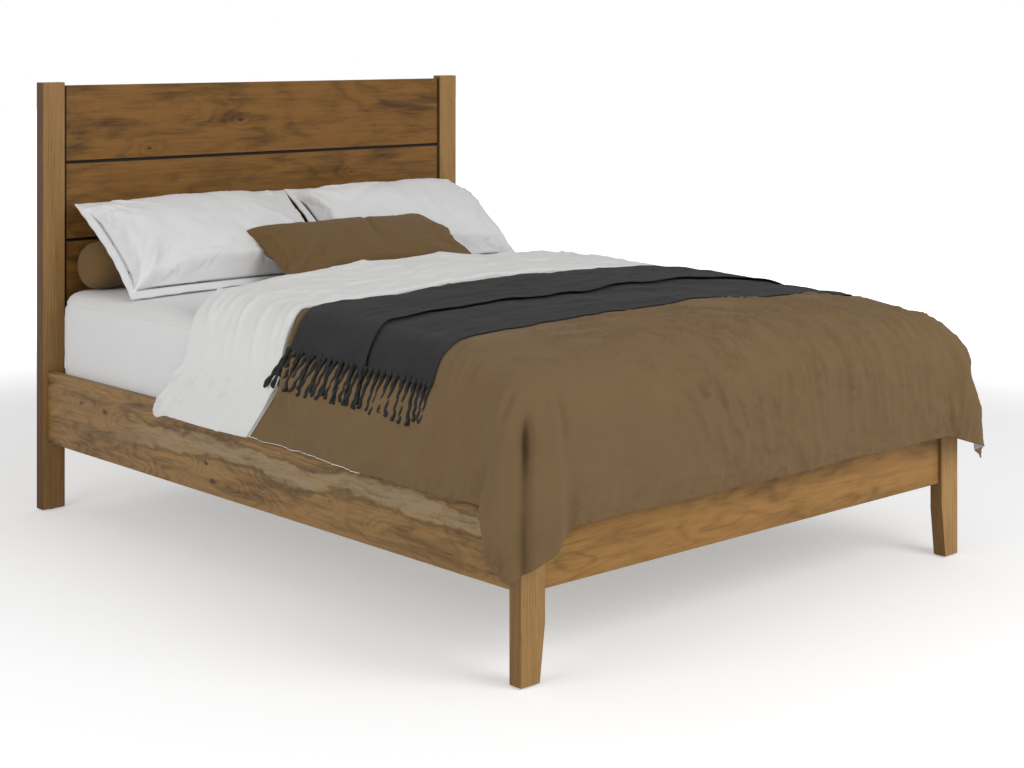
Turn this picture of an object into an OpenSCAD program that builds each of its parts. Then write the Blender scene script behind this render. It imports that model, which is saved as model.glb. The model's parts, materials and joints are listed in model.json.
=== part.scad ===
// Panel bed with a plank headboard, slats on a centre beam, and its bedding.
// Millimetres. X runs across the bed, +Y to the headboard, +Z up.
// The origin is on the floor, under the pad of the middle support leg.

/* [Mattress] */
// Width of the mattress
mattress_w = 1524; // [1370:2:1830]
// Length of the mattress
mattress_l = 2032; // [1900:2:2120]
// Height of the mattress at its edges
mattress_h = 280; // [220:5:340]
// Height of the crown on the mattress top
mattress_crown = 10; // [4:1:14]
// How far the mattress sides swell out
mattress_swell = 5; // [0:1:8]
// Radius of the mattress edges
mattress_edge = 40; // [20:2:60]
// Gap between the mattress and each side rail
mattress_side_gap = 9; // [8:1:20]
// Gap between the mattress and the headboard posts
mattress_head_gap = 6; // [6:1:20]
// Gap between the mattress and the foot rail
mattress_foot_gap = 39; // [20:1:60]
// Thickness of the fitted sheet
sheet_t = 1.5; // [1:0.1:2.5]

/* [Posts and legs] */
// Width of the posts and foot legs, across the bed
post_w = 75; // [64:1:95]
// Depth of the posts and foot legs, along the bed
post_d = 38; // [34:1:60]
// Height of the headboard posts
post_h = 1281; // [1100:1:1500]
// Height of the foot legs
leg_h = 425; // [420:1:470]
// Width of a foot leg at the floor
leg_toe_w = 57; // [45:1:70]
// Height at which the foot leg starts to taper
taper_h = 150; // [80:5:190]
// Size of the eased edges
ease = 2; // [1:0.5:3]
// Diameter of the glide under each post and leg
glide_d = 24; // [16:1:30]
// Height of the glides
glide_h = 3; // [2:0.5:5]

/* [Rails] */
// Height of the rails
rail_h = 212; // [190:1:240]
// Height of the rails above the floor
rail_z = 203; // [180:1:260]
// Thickness of the rails
rail_t = 25; // [22:1:32]
// How far the side rails stand back from the sides of the posts
side_inset = 17; // [10:1:24]
// How far the foot rail stands back from the fronts of the legs
foot_inset = 10; // [2:1:11]
// Length of the tenons on the foot rail and cross rail
tenon_l = 30; // [20:1:36]
// Thickness of those tenons
tenon_t = 10; // [8:1:12]
// Height of the shoulder above and below those tenons
tenon_shoulder = 20; // [10:1:40]

/* [Headboard] */
// Height of the underside of the lowest plank
planks_z = 571; // [540:1:600]
// Width of the groove between planks
plank_gap = 5; // [2:0.5:8]
// Thickness of the planks
plank_t = 20; // [16:1:22]
// How far the planks stand back from the fronts of the posts
plank_inset = 7; // [4:1:8]
// How far the top plank stops below the post tops
plank_drop = 10; // [4:1:30]
// Gap between a plank's shoulder and the post
plank_reveal = 3; // [1:0.5:5]
// Thickness of the tongues on the planks
tongue_t = 8; // [5:0.5:9]
// Length of the tongues inside their grooves
tongue_l = 10; // [6:1:14]
// Width of the battens behind the planks
batten_w = 60; // [40:1:90]
// Thickness of the battens
batten_t = 10; // [8:1:11]
// Distance from the middle of the bed to the middle of a batten
batten_x = 330; // [150:5:500]

/* [Slats] */
// Number of slats
slat_count = 14; // [14:1:14]
// Width of a slat, along the bed
slat_w = 70; // [50:1:80]
// Thickness of a slat
slat_t = 19; // [14:1:22]
// Distance from the headboard posts to the middle of the last slat
slat_end = 127; // [110:1:160]
// Gap between the end of a slat and the rail
slat_end_gap = 2; // [0.5:0.5:5]
// Depth of the cleat tops below the rail tops
cleat_drop = 62; // [50:1:80]
// Thickness of the cleats
cleat_t = 22; // [18:1:30]
// Height of the cleats
cleat_h = 35; // [28:1:45]
// Gap between the end of a cleat and the post
cleat_end_gap = 40; // [20:1:60]

/* [Centre support] */
// Width of the centre beam
beam_w = 38; // [30:1:50]
// Height of the centre beam
beam_h = 70; // [50:1:90]
// Thickness of the steel of the beam hangers
hanger_t = 3; // [2:0.5:4]
// Depth of the cup of a hanger, along the beam
hanger_cup = 40; // [30:1:60]
// Width of each flange of a hanger
hanger_flange = 26; // [20:1:40]
// Width and depth of a support leg
support_w = 45; // [38:1:60]
// Slat pitches from the middle support leg to the next
support_step_count = 3; // [3:1:5]
// Height of the underside of the support legs
support_z = 26; // [26:1:34]
// Diameter of the support leg bolts
bolt_d = 8; // [6:1:10]
// Diameter of the bolt heads
bolt_head_d = 14; // [12:1:17]
// Depth of the bolts inside the support legs
bolt_grip = 40; // [25:1:60]

/* [Levelling feet] */
// Diameter of the levelling stems
stem_d = 8; // [6:1:10]
// Radial clearance of a stem in its insert and its pad
stem_clear = 0.05; // [0.02:0.01:0.1]
// Outer diameter of the threaded inserts
insert_d = 14; // [12:1:18]
// Length of the threaded inserts
insert_l = 22; // [15:1:26]
// Diameter of the pads
pad_d = 32; // [26:1:44]
// Height of the pads at their rims
pad_rim_h = 5; // [4:0.5:6]
// Height of the pads at their necks
pad_neck_h = 9; // [8:0.5:10]
// Width across the flats of the nut on a stem
nut_w = 13; // [12:1:17]
// Height of the nut
nut_h = 5; // [3:0.5:6]
// Travel of a stem up from rest
stem_up = 9; // [4:0.5:9]

/* [Rail fittings] */
// Thickness of the hook plates and receiver plates
plate_t = 2.5; // [2:0.5:3]
// Width of those plates
plate_w = 16; // [14:1:20]
// Height of those plates
plate_h = 140; // [120:2:160]
// Thickness of a hook
hook_t = 2.5; // [2:0.5:4]
// Height of the neck of a hook
hook_neck_h = 16; // [12:1:20]
// How far a hook drops behind its receiver
hook_drop = 8; // [5:1:10]
// Distance between the two hooks of a plate
hook_pitch = 66; // [60:1:70]

/* [Screws] */
// Diameter of the screw shanks
screw_d = 4; // [3:0.5:5]
// Diameter of the screw heads
screw_head_d = 8; // [6:0.5:9]
// Depth of the screw heads
screw_sink = 2.4; // [1.5:0.1:2.5]
// Radial clearance of a screw in its hole
fit = 0.05; // [0.02:0.01:0.1]
// Clearance of a tongue, tenon or beam in its seat
seat_fit = 0.2; // [0.1:0.05:0.3]

/* [Duvet] */
// Thickness of the duvet at the mattress edges
duvet_loft = 58; // [40:1:80]
// How much higher the duvet is along its middle
duvet_puff = 48; // [20:1:70]
// Radius where the duvet turns down
duvet_turn = 105; // [80:5:120]
// How far the outside of the hanging duvet stands out from the posts
duvet_side_out = 27; // [20:1:40]
// How far the outside of its turned-down part stands out from the posts
duvet_fold_out = 1; // [0:1:12]
// How far the outside of the hanging duvet stands out from the legs at the foot
duvet_foot_out = 46; // [34:1:60]
// How far the side hems hang below the rail tops
duvet_side_hang = 25; // [10:1:60]
// How far the foot hem hangs below the rail top
duvet_foot_hang = 65; // [30:1:90]
// Gap between the lining and the frame
duvet_clear = 4; // [3:1:8]
// Distance from the head end of the mattress to the fold of the duvet
duvet_head = 735; // [650:5:900]
// Length of the part that is turned down
turn_down = 380; // [300:5:500]
// Thickness that the turned-down part adds
turn_t = 16; // [8:1:24]
// Depth of the waves in the hanging duvet
wave = 6; // [0:1:9]
// Distance between those waves
wave_pitch = 410; // [300:10:600]

/* [Throw] */
// Distance from the fold of the duvet to the head edge of the throw
throw_head = 415; // [405:5:460]
// Width of the throw as it lies, along the bed
throw_w = 610; // [500:10:700]
// Width of its doubled part
throw_double_w = 330; // [200:10:400]
// Thickness of one layer of the throw
throw_t = 4; // [3:0.5:6]
// Number of tassels at each end
tassel_count = 28; // [20:1:34]
// Length of a tassel
tassel_l = 75; // [50:5:90]
// Width of a tassel at its end
tassel_w = 9; // [5:1:12]

/* [Pillows] */
// Width of a pillow
pillow_w = 690; // [600:5:720]
// Height of a pillow along its lean
pillow_h = 408; // [380:1:430]
// Thickness of a pillow in front of its seam
pillow_front = 95; // [60:5:110]
// Thickness of a pillow behind its seam
pillow_back = 54; // [30:1:56]
// Distance from the headboard planks to the lower edge of a pillow
pillow_foot = 373; // [350:1:390]
// Lean of the pillows from level
pillow_lean = 38; // [34:1:42]
// Distance from the middle of the bed to the middle of a pillow
pillow_x = 395; // [370:5:400]
// Width of the flange round a pillow
flange_w = 22; // [10:1:30]
// Width of the lumbar cushion
lumbar_w = 760; // [600:10:800]
// Height of the lumbar cushion along its lean
lumbar_h = 290; // [260:5:310]
// Thickness of the lumbar cushion in front of its seam
lumbar_front = 62; // [40:1:80]
// Thickness of the lumbar cushion behind its seam
lumbar_back = 43; // [20:1:45]
// Distance from the lower edge of the pillows to that of the lumbar cushion
lumbar_foot = 191; // [191:1:215]
// Lean of the lumbar cushion from level
lumbar_lean = 34; // [30:1:38]
// Middle of the lumbar cushion across the bed
lumbar_x = 70; // [0:5:100]
// Length of the bolster
bolster_l = 1440; // [1200:10:1460]
// Diameter of the bolster, which lies against the headboard posts
bolster_d = 148; // [130:2:160]
// Thickness of the seams and flanges
seam_t = 4; // [3:0.5:6]

/* [Hidden] */
$fn = 48;
// Least gap between soft pieces, and between the mattress and the slats
rest_gap = 0.3;
// How far a cut runs past the face that it opens
over = 1;

// Places that follow from the sizes
bed_w = mattress_w + 2 * (mattress_side_gap + rail_t + side_inset);
bed_l = post_d + mattress_head_gap + mattress_l + mattress_foot_gap + rail_t + foot_inset;
x_out = bed_w / 2;
x_in = x_out - post_w;
x_rail = x_out - side_inset;
x_rail_in = x_rail - rail_t;
x_rail_mid = x_rail - rail_t / 2;
y_head = bed_l / 2;
y_post = y_head - post_d;
y_foot = -y_head;
y_leg = y_foot + post_d;
y_panel = y_post + plank_inset;
y_foot_rail = y_foot + foot_inset;
y_foot_rail_in = y_foot_rail + rail_t;
z_rail_top = rail_z + rail_h;
z_rail_mid = rail_z + rail_h / 2;
z_cleat = z_rail_top - cleat_drop;
z_slat_top = z_cleat + slat_t;
slat_pitch = 2 * (y_post - slat_end) / (slat_count - 1);
z_planks_top = post_h - plank_drop;
plank_count = 3;
plank_h = (z_planks_top - planks_z - (plank_count - 1) * plank_gap) / plank_count;
mattress_z = z_slat_top + rest_gap;
mattress_top = mattress_z + mattress_h;
mattress_head_y = y_post - mattress_head_gap;
mattress_y = mattress_head_y - mattress_l / 2;
sheet_out = rest_gap + sheet_t;
sheet_top = mattress_top + sheet_out;

SLATS = [for (i = [1:slat_count]) str("slat_", i < 10 ? "0" : "", i)];

// Colours, as the photograph shows them
post_colour = "#9a6f45";
plank_colour = "#7d5330";
rail_colour = "#a1764b";
inner_wood_colour = "#c9a878";
steel_colour = "#b5b8bb";
white_colour = "#e6e5e2";
duvet_colour = "#7a6245";
throw_colour = "#3c3c3d";
cushion_colour = "#6b5438";

// Plain shapes

module block(lo, hi) translate(lo) cube(hi - lo);

module octagon(w, h) polygon([
  [ease, 0], [w - ease, 0], [w, ease], [w, h - ease],
  [w - ease, h], [ease, h], [0, h - ease], [0, ease]]);

// A board from one corner to the other, with all its edges eased
module board(lo, hi) {
  size = hi - lo;
  translate(lo) intersection() {
    linear_extrude(size.z) octagon(size.x, size.y);
    translate([0, size.y, 0]) rotate([90, 0, 0]) linear_extrude(size.y) octagon(size.x, size.z);
    rotate([90, 0, 90]) linear_extrude(size.x) octagon(size.y, size.z);
  }
}

// Turns that point a screw or a bore, drawn along +Z, in a direction
TO_LEFT = [0, -90, 0];
TO_RIGHT = [0, 90, 0];
TO_HEAD = [-90, 0, 0];
TO_FOOT = [90, 0, 0];
DOWN = [180, 0, 0];

screw_tip_r = 0.5;

// A countersunk screw with its head at the origin, driven along +Z
module screw(length) rotate_extrude() polygon([
  [0, 0], [screw_head_d / 2, 0], [screw_d / 2, screw_sink],
  [screw_d / 2, length - screw_d], [screw_tip_r, length], [0, length]]);

module screw_hole(length) rotate_extrude() polygon([
  [0, -over], [screw_head_d / 2 + fit, -over], [screw_head_d / 2 + fit, 0],
  [screw_d / 2 + fit, screw_sink], [screw_d / 2 + fit, length + over], [0, length + over]]);

module mirrored() {
  children();
  mirror([1, 0, 0]) children();
}

// Places of two screws along a board, as shares of its width
SCREW_SHARES = [0.2, 0.8];
// Share of the second board that a screw goes into
screw_bite = 0.7;
slat_screw_bite = 0.6;

// Headboard

batten_screw_l = batten_t + plank_t * screw_bite;

module at_batten_screws()
  for (side = [-1, 1], i = [0:plank_count - 1], end = SCREW_SHARES)
    translate([side * batten_x, y_panel + plank_t + batten_t,
               z_planks_top - (i + end) * plank_h - i * plank_gap])
      rotate(TO_FOOT) children();

// Plank 0 is the top one. Each lower plank has a tongue on its upper edge.
module plank(i) {
  top = z_planks_top - i * (plank_h + plank_gap);
  low = top - plank_h;
  half = x_in - plank_reveal;
  tongue_y = y_panel + (plank_t - tongue_t) / 2;
  color(plank_colour) difference() {
    union() {
      board([-half, y_panel, low], [half, y_panel + plank_t, top]);
      block([-x_in - tongue_l, tongue_y, low], [x_in + tongue_l, tongue_y + tongue_t, top]);
      if (i > 0)
        block([-half, tongue_y, top - ease],
              [half, tongue_y + tongue_t, top + plank_gap + tongue_l]);
    }
    if (i < plank_count - 1)
      block([-x_out, tongue_y - seat_fit, low - over],
            [x_out, tongue_y + tongue_t + seat_fit, low + tongue_l + seat_fit]);
    at_batten_screws() screw_hole(batten_screw_l);
  }
}

module batten(side) color(inner_wood_colour) difference() {
  board([side * batten_x - batten_w / 2, y_panel + plank_t, planks_z + plank_gap],
        [side * batten_x + batten_w / 2, y_panel + plank_t + batten_t, z_planks_top - plank_drop]);
  at_batten_screws() screw_hole(batten_screw_l);
}

module batten_screws() color(steel_colour) at_batten_screws() screw(batten_screw_l);

module tenon(x, y, gap)
  block([x - tenon_l - gap, y + (rail_t - tenon_t) / 2 - gap, rail_z + tenon_shoulder - gap],
        [x + tenon_l + gap, y + (rail_t + tenon_t) / 2 + gap, z_rail_top - tenon_shoulder + gap]);

// A rail between the posts or legs, with a tenon at each end
module cross_member(y, wall) color(wall) {
  board([-x_in, y, rail_z], [x_in, y + rail_t, z_rail_top]);
  mirrored() tenon(x_in, y, 0);
}

module head_cross_rail() difference() {
  cross_member(y_panel, inner_wood_colour);
  at_hanger_screws(1) screw_hole(hanger_screw_l);
}

module foot_rail() difference() {
  cross_member(y_foot_rail, rail_colour);
  at_hanger_screws(-1) screw_hole(hanger_screw_l);
}

// Rail fittings. They are drawn for the right side and mirrored to the left.
// At the head, end is 1 and the hooks point to the head. At the foot, end is -1.

hook_screw_l = 32;
receiver_screw_l = 22;
plate_screw_edge = 10;
plate_screw_z = [-plate_h / 2 + plate_screw_edge, 0, plate_h / 2 - plate_screw_edge];
hook_gap = 0.2;
// Depth of a hook's blade behind the receiver, and the room round it in the post
blade_t = 6;
blade_room = 2;
// Slope at the top of a blade, as a share of the neck's height
blade_slope = 0.7;
// Gap under the head of a plate screw
plate_screw_gap = 0.03;

module to_end(end) if (end > 0) children(); else mirror([0, 1, 0]) children();

module at_hook_screws(end) to_end(end)
  for (z = plate_screw_z) translate([x_rail_mid, y_post, z_rail_mid + z]) rotate(TO_FOOT) children();

module at_receiver_screws(end) to_end(end)
  for (z = plate_screw_z) translate([x_rail_mid, y_post, z_rail_mid + z]) rotate(TO_HEAD) children();

module at_hooks() for (side = [-1, 1])
  translate([x_rail_mid, y_post, z_rail_mid + side * hook_pitch / 2]) children();

// The neck passes through the receiver, and the blade drops behind it
module hook() rotate([90, 0, 90]) translate([0, 0, -hook_t / 2]) linear_extrude(hook_t) polygon([
  [-over, 0], [plate_t + hook_gap, 0], [plate_t + hook_gap, -hook_drop],
  [plate_t + blade_t, -hook_drop], [plate_t + blade_t, hook_neck_h * blade_slope],
  [plate_t + blade_t / 2, hook_neck_h], [-over, hook_neck_h]]);

module hook_plate() {
  block([x_rail_mid - plate_w / 2, y_post - plate_t, z_rail_mid - plate_h / 2],
        [x_rail_mid + plate_w / 2, y_post, z_rail_mid + plate_h / 2]);
  at_hooks() hook();
}

module hook_plates() color(steel_colour) difference() {
  mirrored() for (end = [-1, 1]) to_end(end) hook_plate();
  mirrored() for (end = [-1, 1]) at_hook_screws(end) screw_hole(hook_screw_l);
}

module receiver_plate() difference() {
  block([x_rail_mid - plate_w / 2, y_post, z_rail_mid - plate_h / 2],
        [x_rail_mid + plate_w / 2, y_post + plate_t, z_rail_mid + plate_h / 2]);
  at_hooks() block([-hook_t / 2 - 2 * hook_gap, -over, -hook_gap],
                   [hook_t / 2 + 2 * hook_gap, plate_t + over, hook_neck_h + hook_drop + over]);
}

module receiver_plates() color(steel_colour) difference() {
  mirrored() for (end = [-1, 1]) to_end(end) receiver_plate();
  mirrored() for (end = [-1, 1]) at_receiver_screws(end) screw_hole(receiver_screw_l);
}

module rail_plate_screws() color(steel_colour) mirrored() for (end = [-1, 1]) {
  at_hook_screws(end) translate([0, 0, plate_screw_gap]) screw(hook_screw_l);
  at_receiver_screws(end) translate([0, 0, plate_screw_gap]) screw(receiver_screw_l);
}

// The room that a post or leg has for its receiver plate and the hooks behind it
module receiver_seat(end) {
  to_end(end) {
    block([x_rail_mid - plate_w / 2, y_post - over, z_rail_mid - plate_h / 2],
          [x_rail_mid + plate_w / 2, y_post + plate_t, z_rail_mid + plate_h / 2]);
    at_hooks() block([-hook_t / 2 - blade_room / 2, 0, -hook_drop - blade_room],
                     [hook_t / 2 + blade_room / 2, plate_t + blade_t + blade_room,
                      hook_neck_h + hook_drop + blade_room]);
  }
  at_receiver_screws(end) screw_hole(receiver_screw_l);
}

// Posts, legs and their glides

module headboard_post() color(post_colour) difference() {
  board([x_in, y_post, glide_h], [x_out, y_head, post_h]);
  block([x_in - over, y_panel + (plank_t - tongue_t) / 2 - seat_fit, planks_z - seat_fit],
        [x_in + tongue_l + seat_fit, y_panel + (plank_t + tongue_t) / 2 + seat_fit,
         z_planks_top + seat_fit]);
  tenon(x_in, y_panel, seat_fit);
  receiver_seat(1);
}

module foot_leg() color(post_colour) difference() {
  intersection() {
    board([x_in, y_foot, glide_h], [x_out, y_leg, leg_h]);
    translate([x_out, y_leg + over, 0]) rotate([90, 0, 0]) linear_extrude(post_d + 2 * over) polygon([
      [0, 0], [0, leg_h], [-post_w, leg_h], [-post_w, taper_h], [-leg_toe_w, 0]]);
  }
  tenon(x_in, y_foot_rail, seat_fit);
  receiver_seat(-1);
}

module glide(x, y) translate([x, y, 0]) rotate_extrude() polygon([
  [0, 0], [glide_d / 2 - glide_h / 3, 0], [glide_d / 2, glide_h / 3], [glide_d / 2, glide_h], [0, glide_h]]);

module frame_glides() color(steel_colour) mirrored() {
  glide(x_out - post_w / 2, y_head - post_d / 2);
  glide(x_out - leg_toe_w / 2, y_foot + post_d / 2);
}

// Side rails, cleats and slats

cleat_screw_l = cleat_t + rail_t * screw_bite;
slat_screw_l = slat_t + cleat_h * slat_screw_bite;
x_slat_screw = x_rail_in - cleat_t / 2;

function slat_y(i) = (i - (slat_count + 1) / 2) * slat_pitch;

// A cleat screw at every second slat, on both sides of the middle
module at_cleat_screws() for (i = [-3:3])
  translate([x_rail_in - cleat_t, i * 2 * slat_pitch, z_cleat - cleat_h / 2]) rotate(TO_RIGHT) children();

module at_slat_screws(i) for (x = [-x_slat_screw, 0, x_slat_screw])
  translate([x, slat_y(i), z_slat_top]) rotate(DOWN) children();

module side_rail() color(rail_colour) difference() {
  board([x_rail_in, -y_post, rail_z], [x_rail, y_post, z_rail_top]);
  at_cleat_screws() screw_hole(cleat_screw_l);
  for (end = [-1, 1]) {
    to_end(end) block([x_rail_mid - plate_w / 2, y_post - plate_t, z_rail_mid - plate_h / 2],
                      [x_rail_mid + plate_w / 2, y_post + over, z_rail_mid + plate_h / 2]);
    at_hook_screws(end) screw_hole(hook_screw_l);
  }
}

module slat_cleat() color(inner_wood_colour) difference() {
  board([x_rail_in - cleat_t, -y_post + cleat_end_gap, z_cleat - cleat_h],
        [x_rail_in, y_post - cleat_end_gap, z_cleat]);
  at_cleat_screws() screw_hole(cleat_screw_l);
  for (i = [1:slat_count]) at_slat_screws(i) screw_hole(slat_screw_l);
}

module cleat_screws() color(steel_colour) mirrored() at_cleat_screws() screw(cleat_screw_l);

module slat(i) color(inner_wood_colour) difference() {
  board([-x_rail_in + slat_end_gap, slat_y(i) - slat_w / 2, z_cleat],
        [x_rail_in - slat_end_gap, slat_y(i) + slat_w / 2, z_slat_top]);
  at_slat_screws(i) screw_hole(slat_screw_l);
}

module slat_screws() color(steel_colour)
  for (i = [1:slat_count]) at_slat_screws(i) screw(slat_screw_l);

// Centre beam, its hangers and the support legs

z_beam = z_cleat - beam_h;
beam_head_y = y_panel - hanger_t;
beam_foot_y = y_foot_rail_in + hanger_t;
hanger_screw_l = 20;
support_pitch = support_step_count * slat_pitch;
bolt_head_h = 5;
bolt_sink = 1;
hanger_share = 0.8;
hanger_plate_h = beam_h * hanger_share;

// Screws through the flanges of a hanger into its rail. At the head, end is 1.
module at_hanger_screws(end)
  for (side = [-1, 1], z = SCREW_SHARES)
    translate([side * (beam_w / 2 + hanger_t + hanger_flange / 2),
               end > 0 ? beam_head_y : beam_foot_y, z_beam + z * hanger_plate_h])
      rotate(end > 0 ? TO_HEAD : TO_FOOT) children();

module hanger(end) {
  cup = beam_w / 2 + seat_fit;
  color(steel_colour) difference() {
    union() {
      block([-cup - hanger_t - hanger_flange, 0, z_beam - hanger_t],
            [cup + hanger_t + hanger_flange, hanger_t, z_beam - hanger_t + hanger_plate_h]);
      block([-cup - hanger_t, 0, z_beam - hanger_t],
            [cup + hanger_t, hanger_t + hanger_cup, z_beam - hanger_t + hanger_plate_h]);
    }
    block([-cup, hanger_t, z_beam], [cup, hanger_t + hanger_cup + over, z_cleat]);
    translate([0, end > 0 ? y_panel : -y_foot_rail_in, 0]) mirror([0, end > 0 ? 1 : 0, 0])
      at_hanger_screws(end) screw_hole(hanger_screw_l);
  }
}

module beam_hanger_head() translate([0, y_panel, 0]) mirror([0, 1, 0]) hanger(1);
module beam_hanger_foot() translate([0, y_foot_rail_in, 0]) hanger(-1);

module beam_hanger_screws() color(steel_colour)
  for (end = [-1, 1]) at_hanger_screws(end) screw(hanger_screw_l);

module at_supports() for (i = [-1:1]) translate([0, i * support_pitch, 0]) children();

// A bolt from the beam's top down into a support leg, or the hole for one
module support_bolt(gap) {
  head_z = z_cleat - bolt_sink - bolt_head_h;
  top = gap > 0 ? z_cleat + over : z_cleat - bolt_sink;
  rotate_extrude() polygon([
    [0, z_beam - bolt_grip - gap], [bolt_d / 2 + gap, z_beam - bolt_grip - gap],
    [bolt_d / 2 + gap, head_z], [bolt_head_d / 2 + gap, head_z], [bolt_head_d / 2 + gap, top], [0, top]]);
}

module center_beam() color(inner_wood_colour) difference() {
  board([-beam_w / 2, beam_foot_y, z_beam], [beam_w / 2, beam_head_y, z_cleat]);
  for (i = [1:slat_count]) at_slat_screws(i) screw_hole(slat_screw_l);
  at_supports() support_bolt(fit);
}

module support_leg(i) translate([0, i * support_pitch, 0]) color(inner_wood_colour) difference() {
  board([-support_w / 2, -support_w / 2, support_z], [support_w / 2, support_w / 2, z_beam]);
  translate([0, 0, support_z - over]) cylinder(d = insert_d + 2 * fit, h = insert_l + over);
  translate([0, 0, support_z]) cylinder(d = stem_d + 2 * stem_side_room, h = insert_l + stem_room);
  support_bolt(fit);
}

module support_leg_bolts() color(steel_colour) at_supports() support_bolt(0);

// Levelling feet: a stem that screws into the insert, and a pad on its end

stem_past = 10;
stem_side_room = 1;
stem_top = support_z + insert_l + stem_past;
stem_room = stem_past + stem_up + 2 * stem_side_room;
pad_floor = 3;
pad_neck_wall = 4;
pad_ease = 1;
nut_gap = 1;
nut_z = support_z - stem_up - nut_h - nut_gap;

module threaded_inserts() color(steel_colour) at_supports() translate([0, 0, support_z]) difference() {
  cylinder(d = insert_d, h = insert_l);
  translate([0, 0, -over]) cylinder(d = stem_d + 2 * stem_clear, h = insert_l + 2 * over);
}

module leveller_stem(i) translate([0, i * support_pitch, 0]) color(steel_colour) {
  translate([0, 0, pad_floor + stem_clear]) cylinder(d = stem_d, h = stem_top - pad_floor - stem_clear);
  translate([0, 0, nut_z]) cylinder(d = nut_w / cos(30), h = nut_h, $fn = 6);
}

module leveller_pad(i) translate([0, i * support_pitch, 0]) color("#2b2b2b") rotate_extrude() polygon([
  [0, 0], [pad_d / 2 - pad_ease, 0], [pad_d / 2, pad_ease], [pad_d / 2, pad_rim_h],
  [stem_d / 2 + pad_neck_wall, pad_neck_h], [stem_d / 2 + stem_clear, pad_neck_h],
  [stem_d / 2 + stem_clear, pad_floor], [0, pad_floor]]);

// Soft forms are lofted from rows of points. A skin joins rows of equal length.
// Its faces turn their clockwise side outwards.

function flat(rows) = [for (row = rows) each row];

// Faces between rows of n points from number start. A closed row joins its ends.
function skin(row_count, n, start, closed, flip) = [
  for (r = [0:row_count - 2], c = [0:n - (closed ? 1 : 2)])
    let (d = (c + 1) % n, a = start + r * n + c, b = start + r * n + d, e = a + n, f = b + n)
      each flip ? [[a, b, f], [a, f, e]] : [[a, f, b], [a, e, f]]];

// Faces from one row round to a single point
function fan(n, start, point, flip) = [
  for (c = [0:n - 1])
    let (a = start + c, b = start + (c + 1) % n)
      flip ? [a, point, b] : [a, b, point]];

// Faces that join the rims of two grids of equal size, the second after the first
function rim(row_count, n) =
  let (m = row_count * n,
       edge = concat([for (c = [0:n - 2]) c],
                     [for (r = [0:row_count - 2]) r * n + n - 1],
                     [for (c = [n - 1:-1:1]) (row_count - 1) * n + c],
                     [for (r = [row_count - 1:-1:1]) r * n]),
       k = len(edge))
    [for (i = [0:k - 1])
      let (a = edge[i], b = edge[(i + 1) % k])
        each [[a, b + m, b], [a, a + m, b + m]]];

// A closed solid between two grids of points
module between(outer, inner) {
  rows = len(outer);
  n = len(outer[0]);
  polyhedron(points = concat(flat(outer), flat(inner)),
             faces = concat(skin(rows, n, 0, false, true), skin(rows, n, rows * n, false, false),
                            rim(rows, n)));
}

// A closed solid through rings of points, with a point at each end
module loft(rings, low, high) {
  rows = len(rings);
  n = len(rings[0]);
  polyhedron(points = concat(flat(rings), [low, high]),
             faces = concat(skin(rows, n, 0, true, false), fan(n, 0, rows * n, false),
                            fan(n, (rows - 1) * n, rows * n + 1, true)));
}

function mix(a, b, t) = a + (b - a) * t;
function ramp(a, b, x) = let (t = min(1, max(0, (x - a) / (b - a)))) t * t * (3 - 2 * t);

// Mattress and fitted sheet

mattress_corner_steps = 3;
mattress_side_steps = 5;
mattress_corner_r = 70;
mattress_least_r = 2;
// Height of the widest part of the sides, and where the edges bend, as shares
swell_share = 0.55;
bend_share = 0.3;
// Where the crown bends, as a share of the width, and how much of its height it has there
crown_inset = mattress_w * 0.22;
crown_share = 0.75;

// Height of the crown over a point of the mattress top
function crown_at(x, y) =
  let (hx = mattress_w / 2, hy = mattress_l / 2, ay = abs(y - mattress_y),
       inset = min(hx - abs(x), hy - ay),
       from_ring = 1 - max(abs(x) / (hx - crown_inset), ay / (hy - crown_inset)))
    mattress_crown * (inset < crown_inset
      ? crown_share * max(0, inset - mattress_edge) / (crown_inset - mattress_edge)
      : crown_share + (1 - crown_share) * from_ring);

// A rounded rectangle round the middle of the mattress, at a height
function mattress_ring(inset, z) =
  let (hx = mattress_w / 2 - inset, hy = mattress_l / 2 - inset,
       r = max(mattress_least_r, mattress_corner_r - inset))
    [for (q = [0:3], s = [0:mattress_corner_steps + mattress_side_steps - 1])
      let (sx = q == 0 || q == 3 ? 1 : -1, sy = q < 2 ? 1 : -1,
           turn = q * 90 + min(s, mattress_corner_steps) * 90 / mattress_corner_steps,
           along = max(0, s - mattress_corner_steps) / mattress_side_steps,
           nx = q % 2 == 0 ? -1 : 0, ny = q % 2 == 0 ? 0 : -1,
           run = q % 2 == 0 ? 2 * (hx - r) : 2 * (hy - r))
        [sx * (hx - r) + r * cos(turn) + nx * sx * along * run,
         mattress_y + sy * (hy - r) + r * sin(turn) + ny * sy * along * run, z]];

// Inset and height of each ring, from the bottom edge up and in to the crown
function mattress_rings(grow) =
  let (e = mattress_edge, h = mattress_h, z = mattress_z)
    [for (step = [
        [e / 2, z], [0, z + e / 2], [-mattress_swell, z + h * swell_share], [0, z + h - e],
        [e * bend_share, z + h - e * bend_share + grow * (1 - bend_share)], [e, z + h + grow],
        [crown_inset, z + h + mattress_crown * crown_share + grow]])
      mattress_ring(step[0] - (step[0] >= e ? 0 : grow), step[1])];

module mattress() color(white_colour)
  loft(mattress_rings(0), [0, mattress_y, mattress_z], [0, mattress_y, mattress_top + mattress_crown]);

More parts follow.
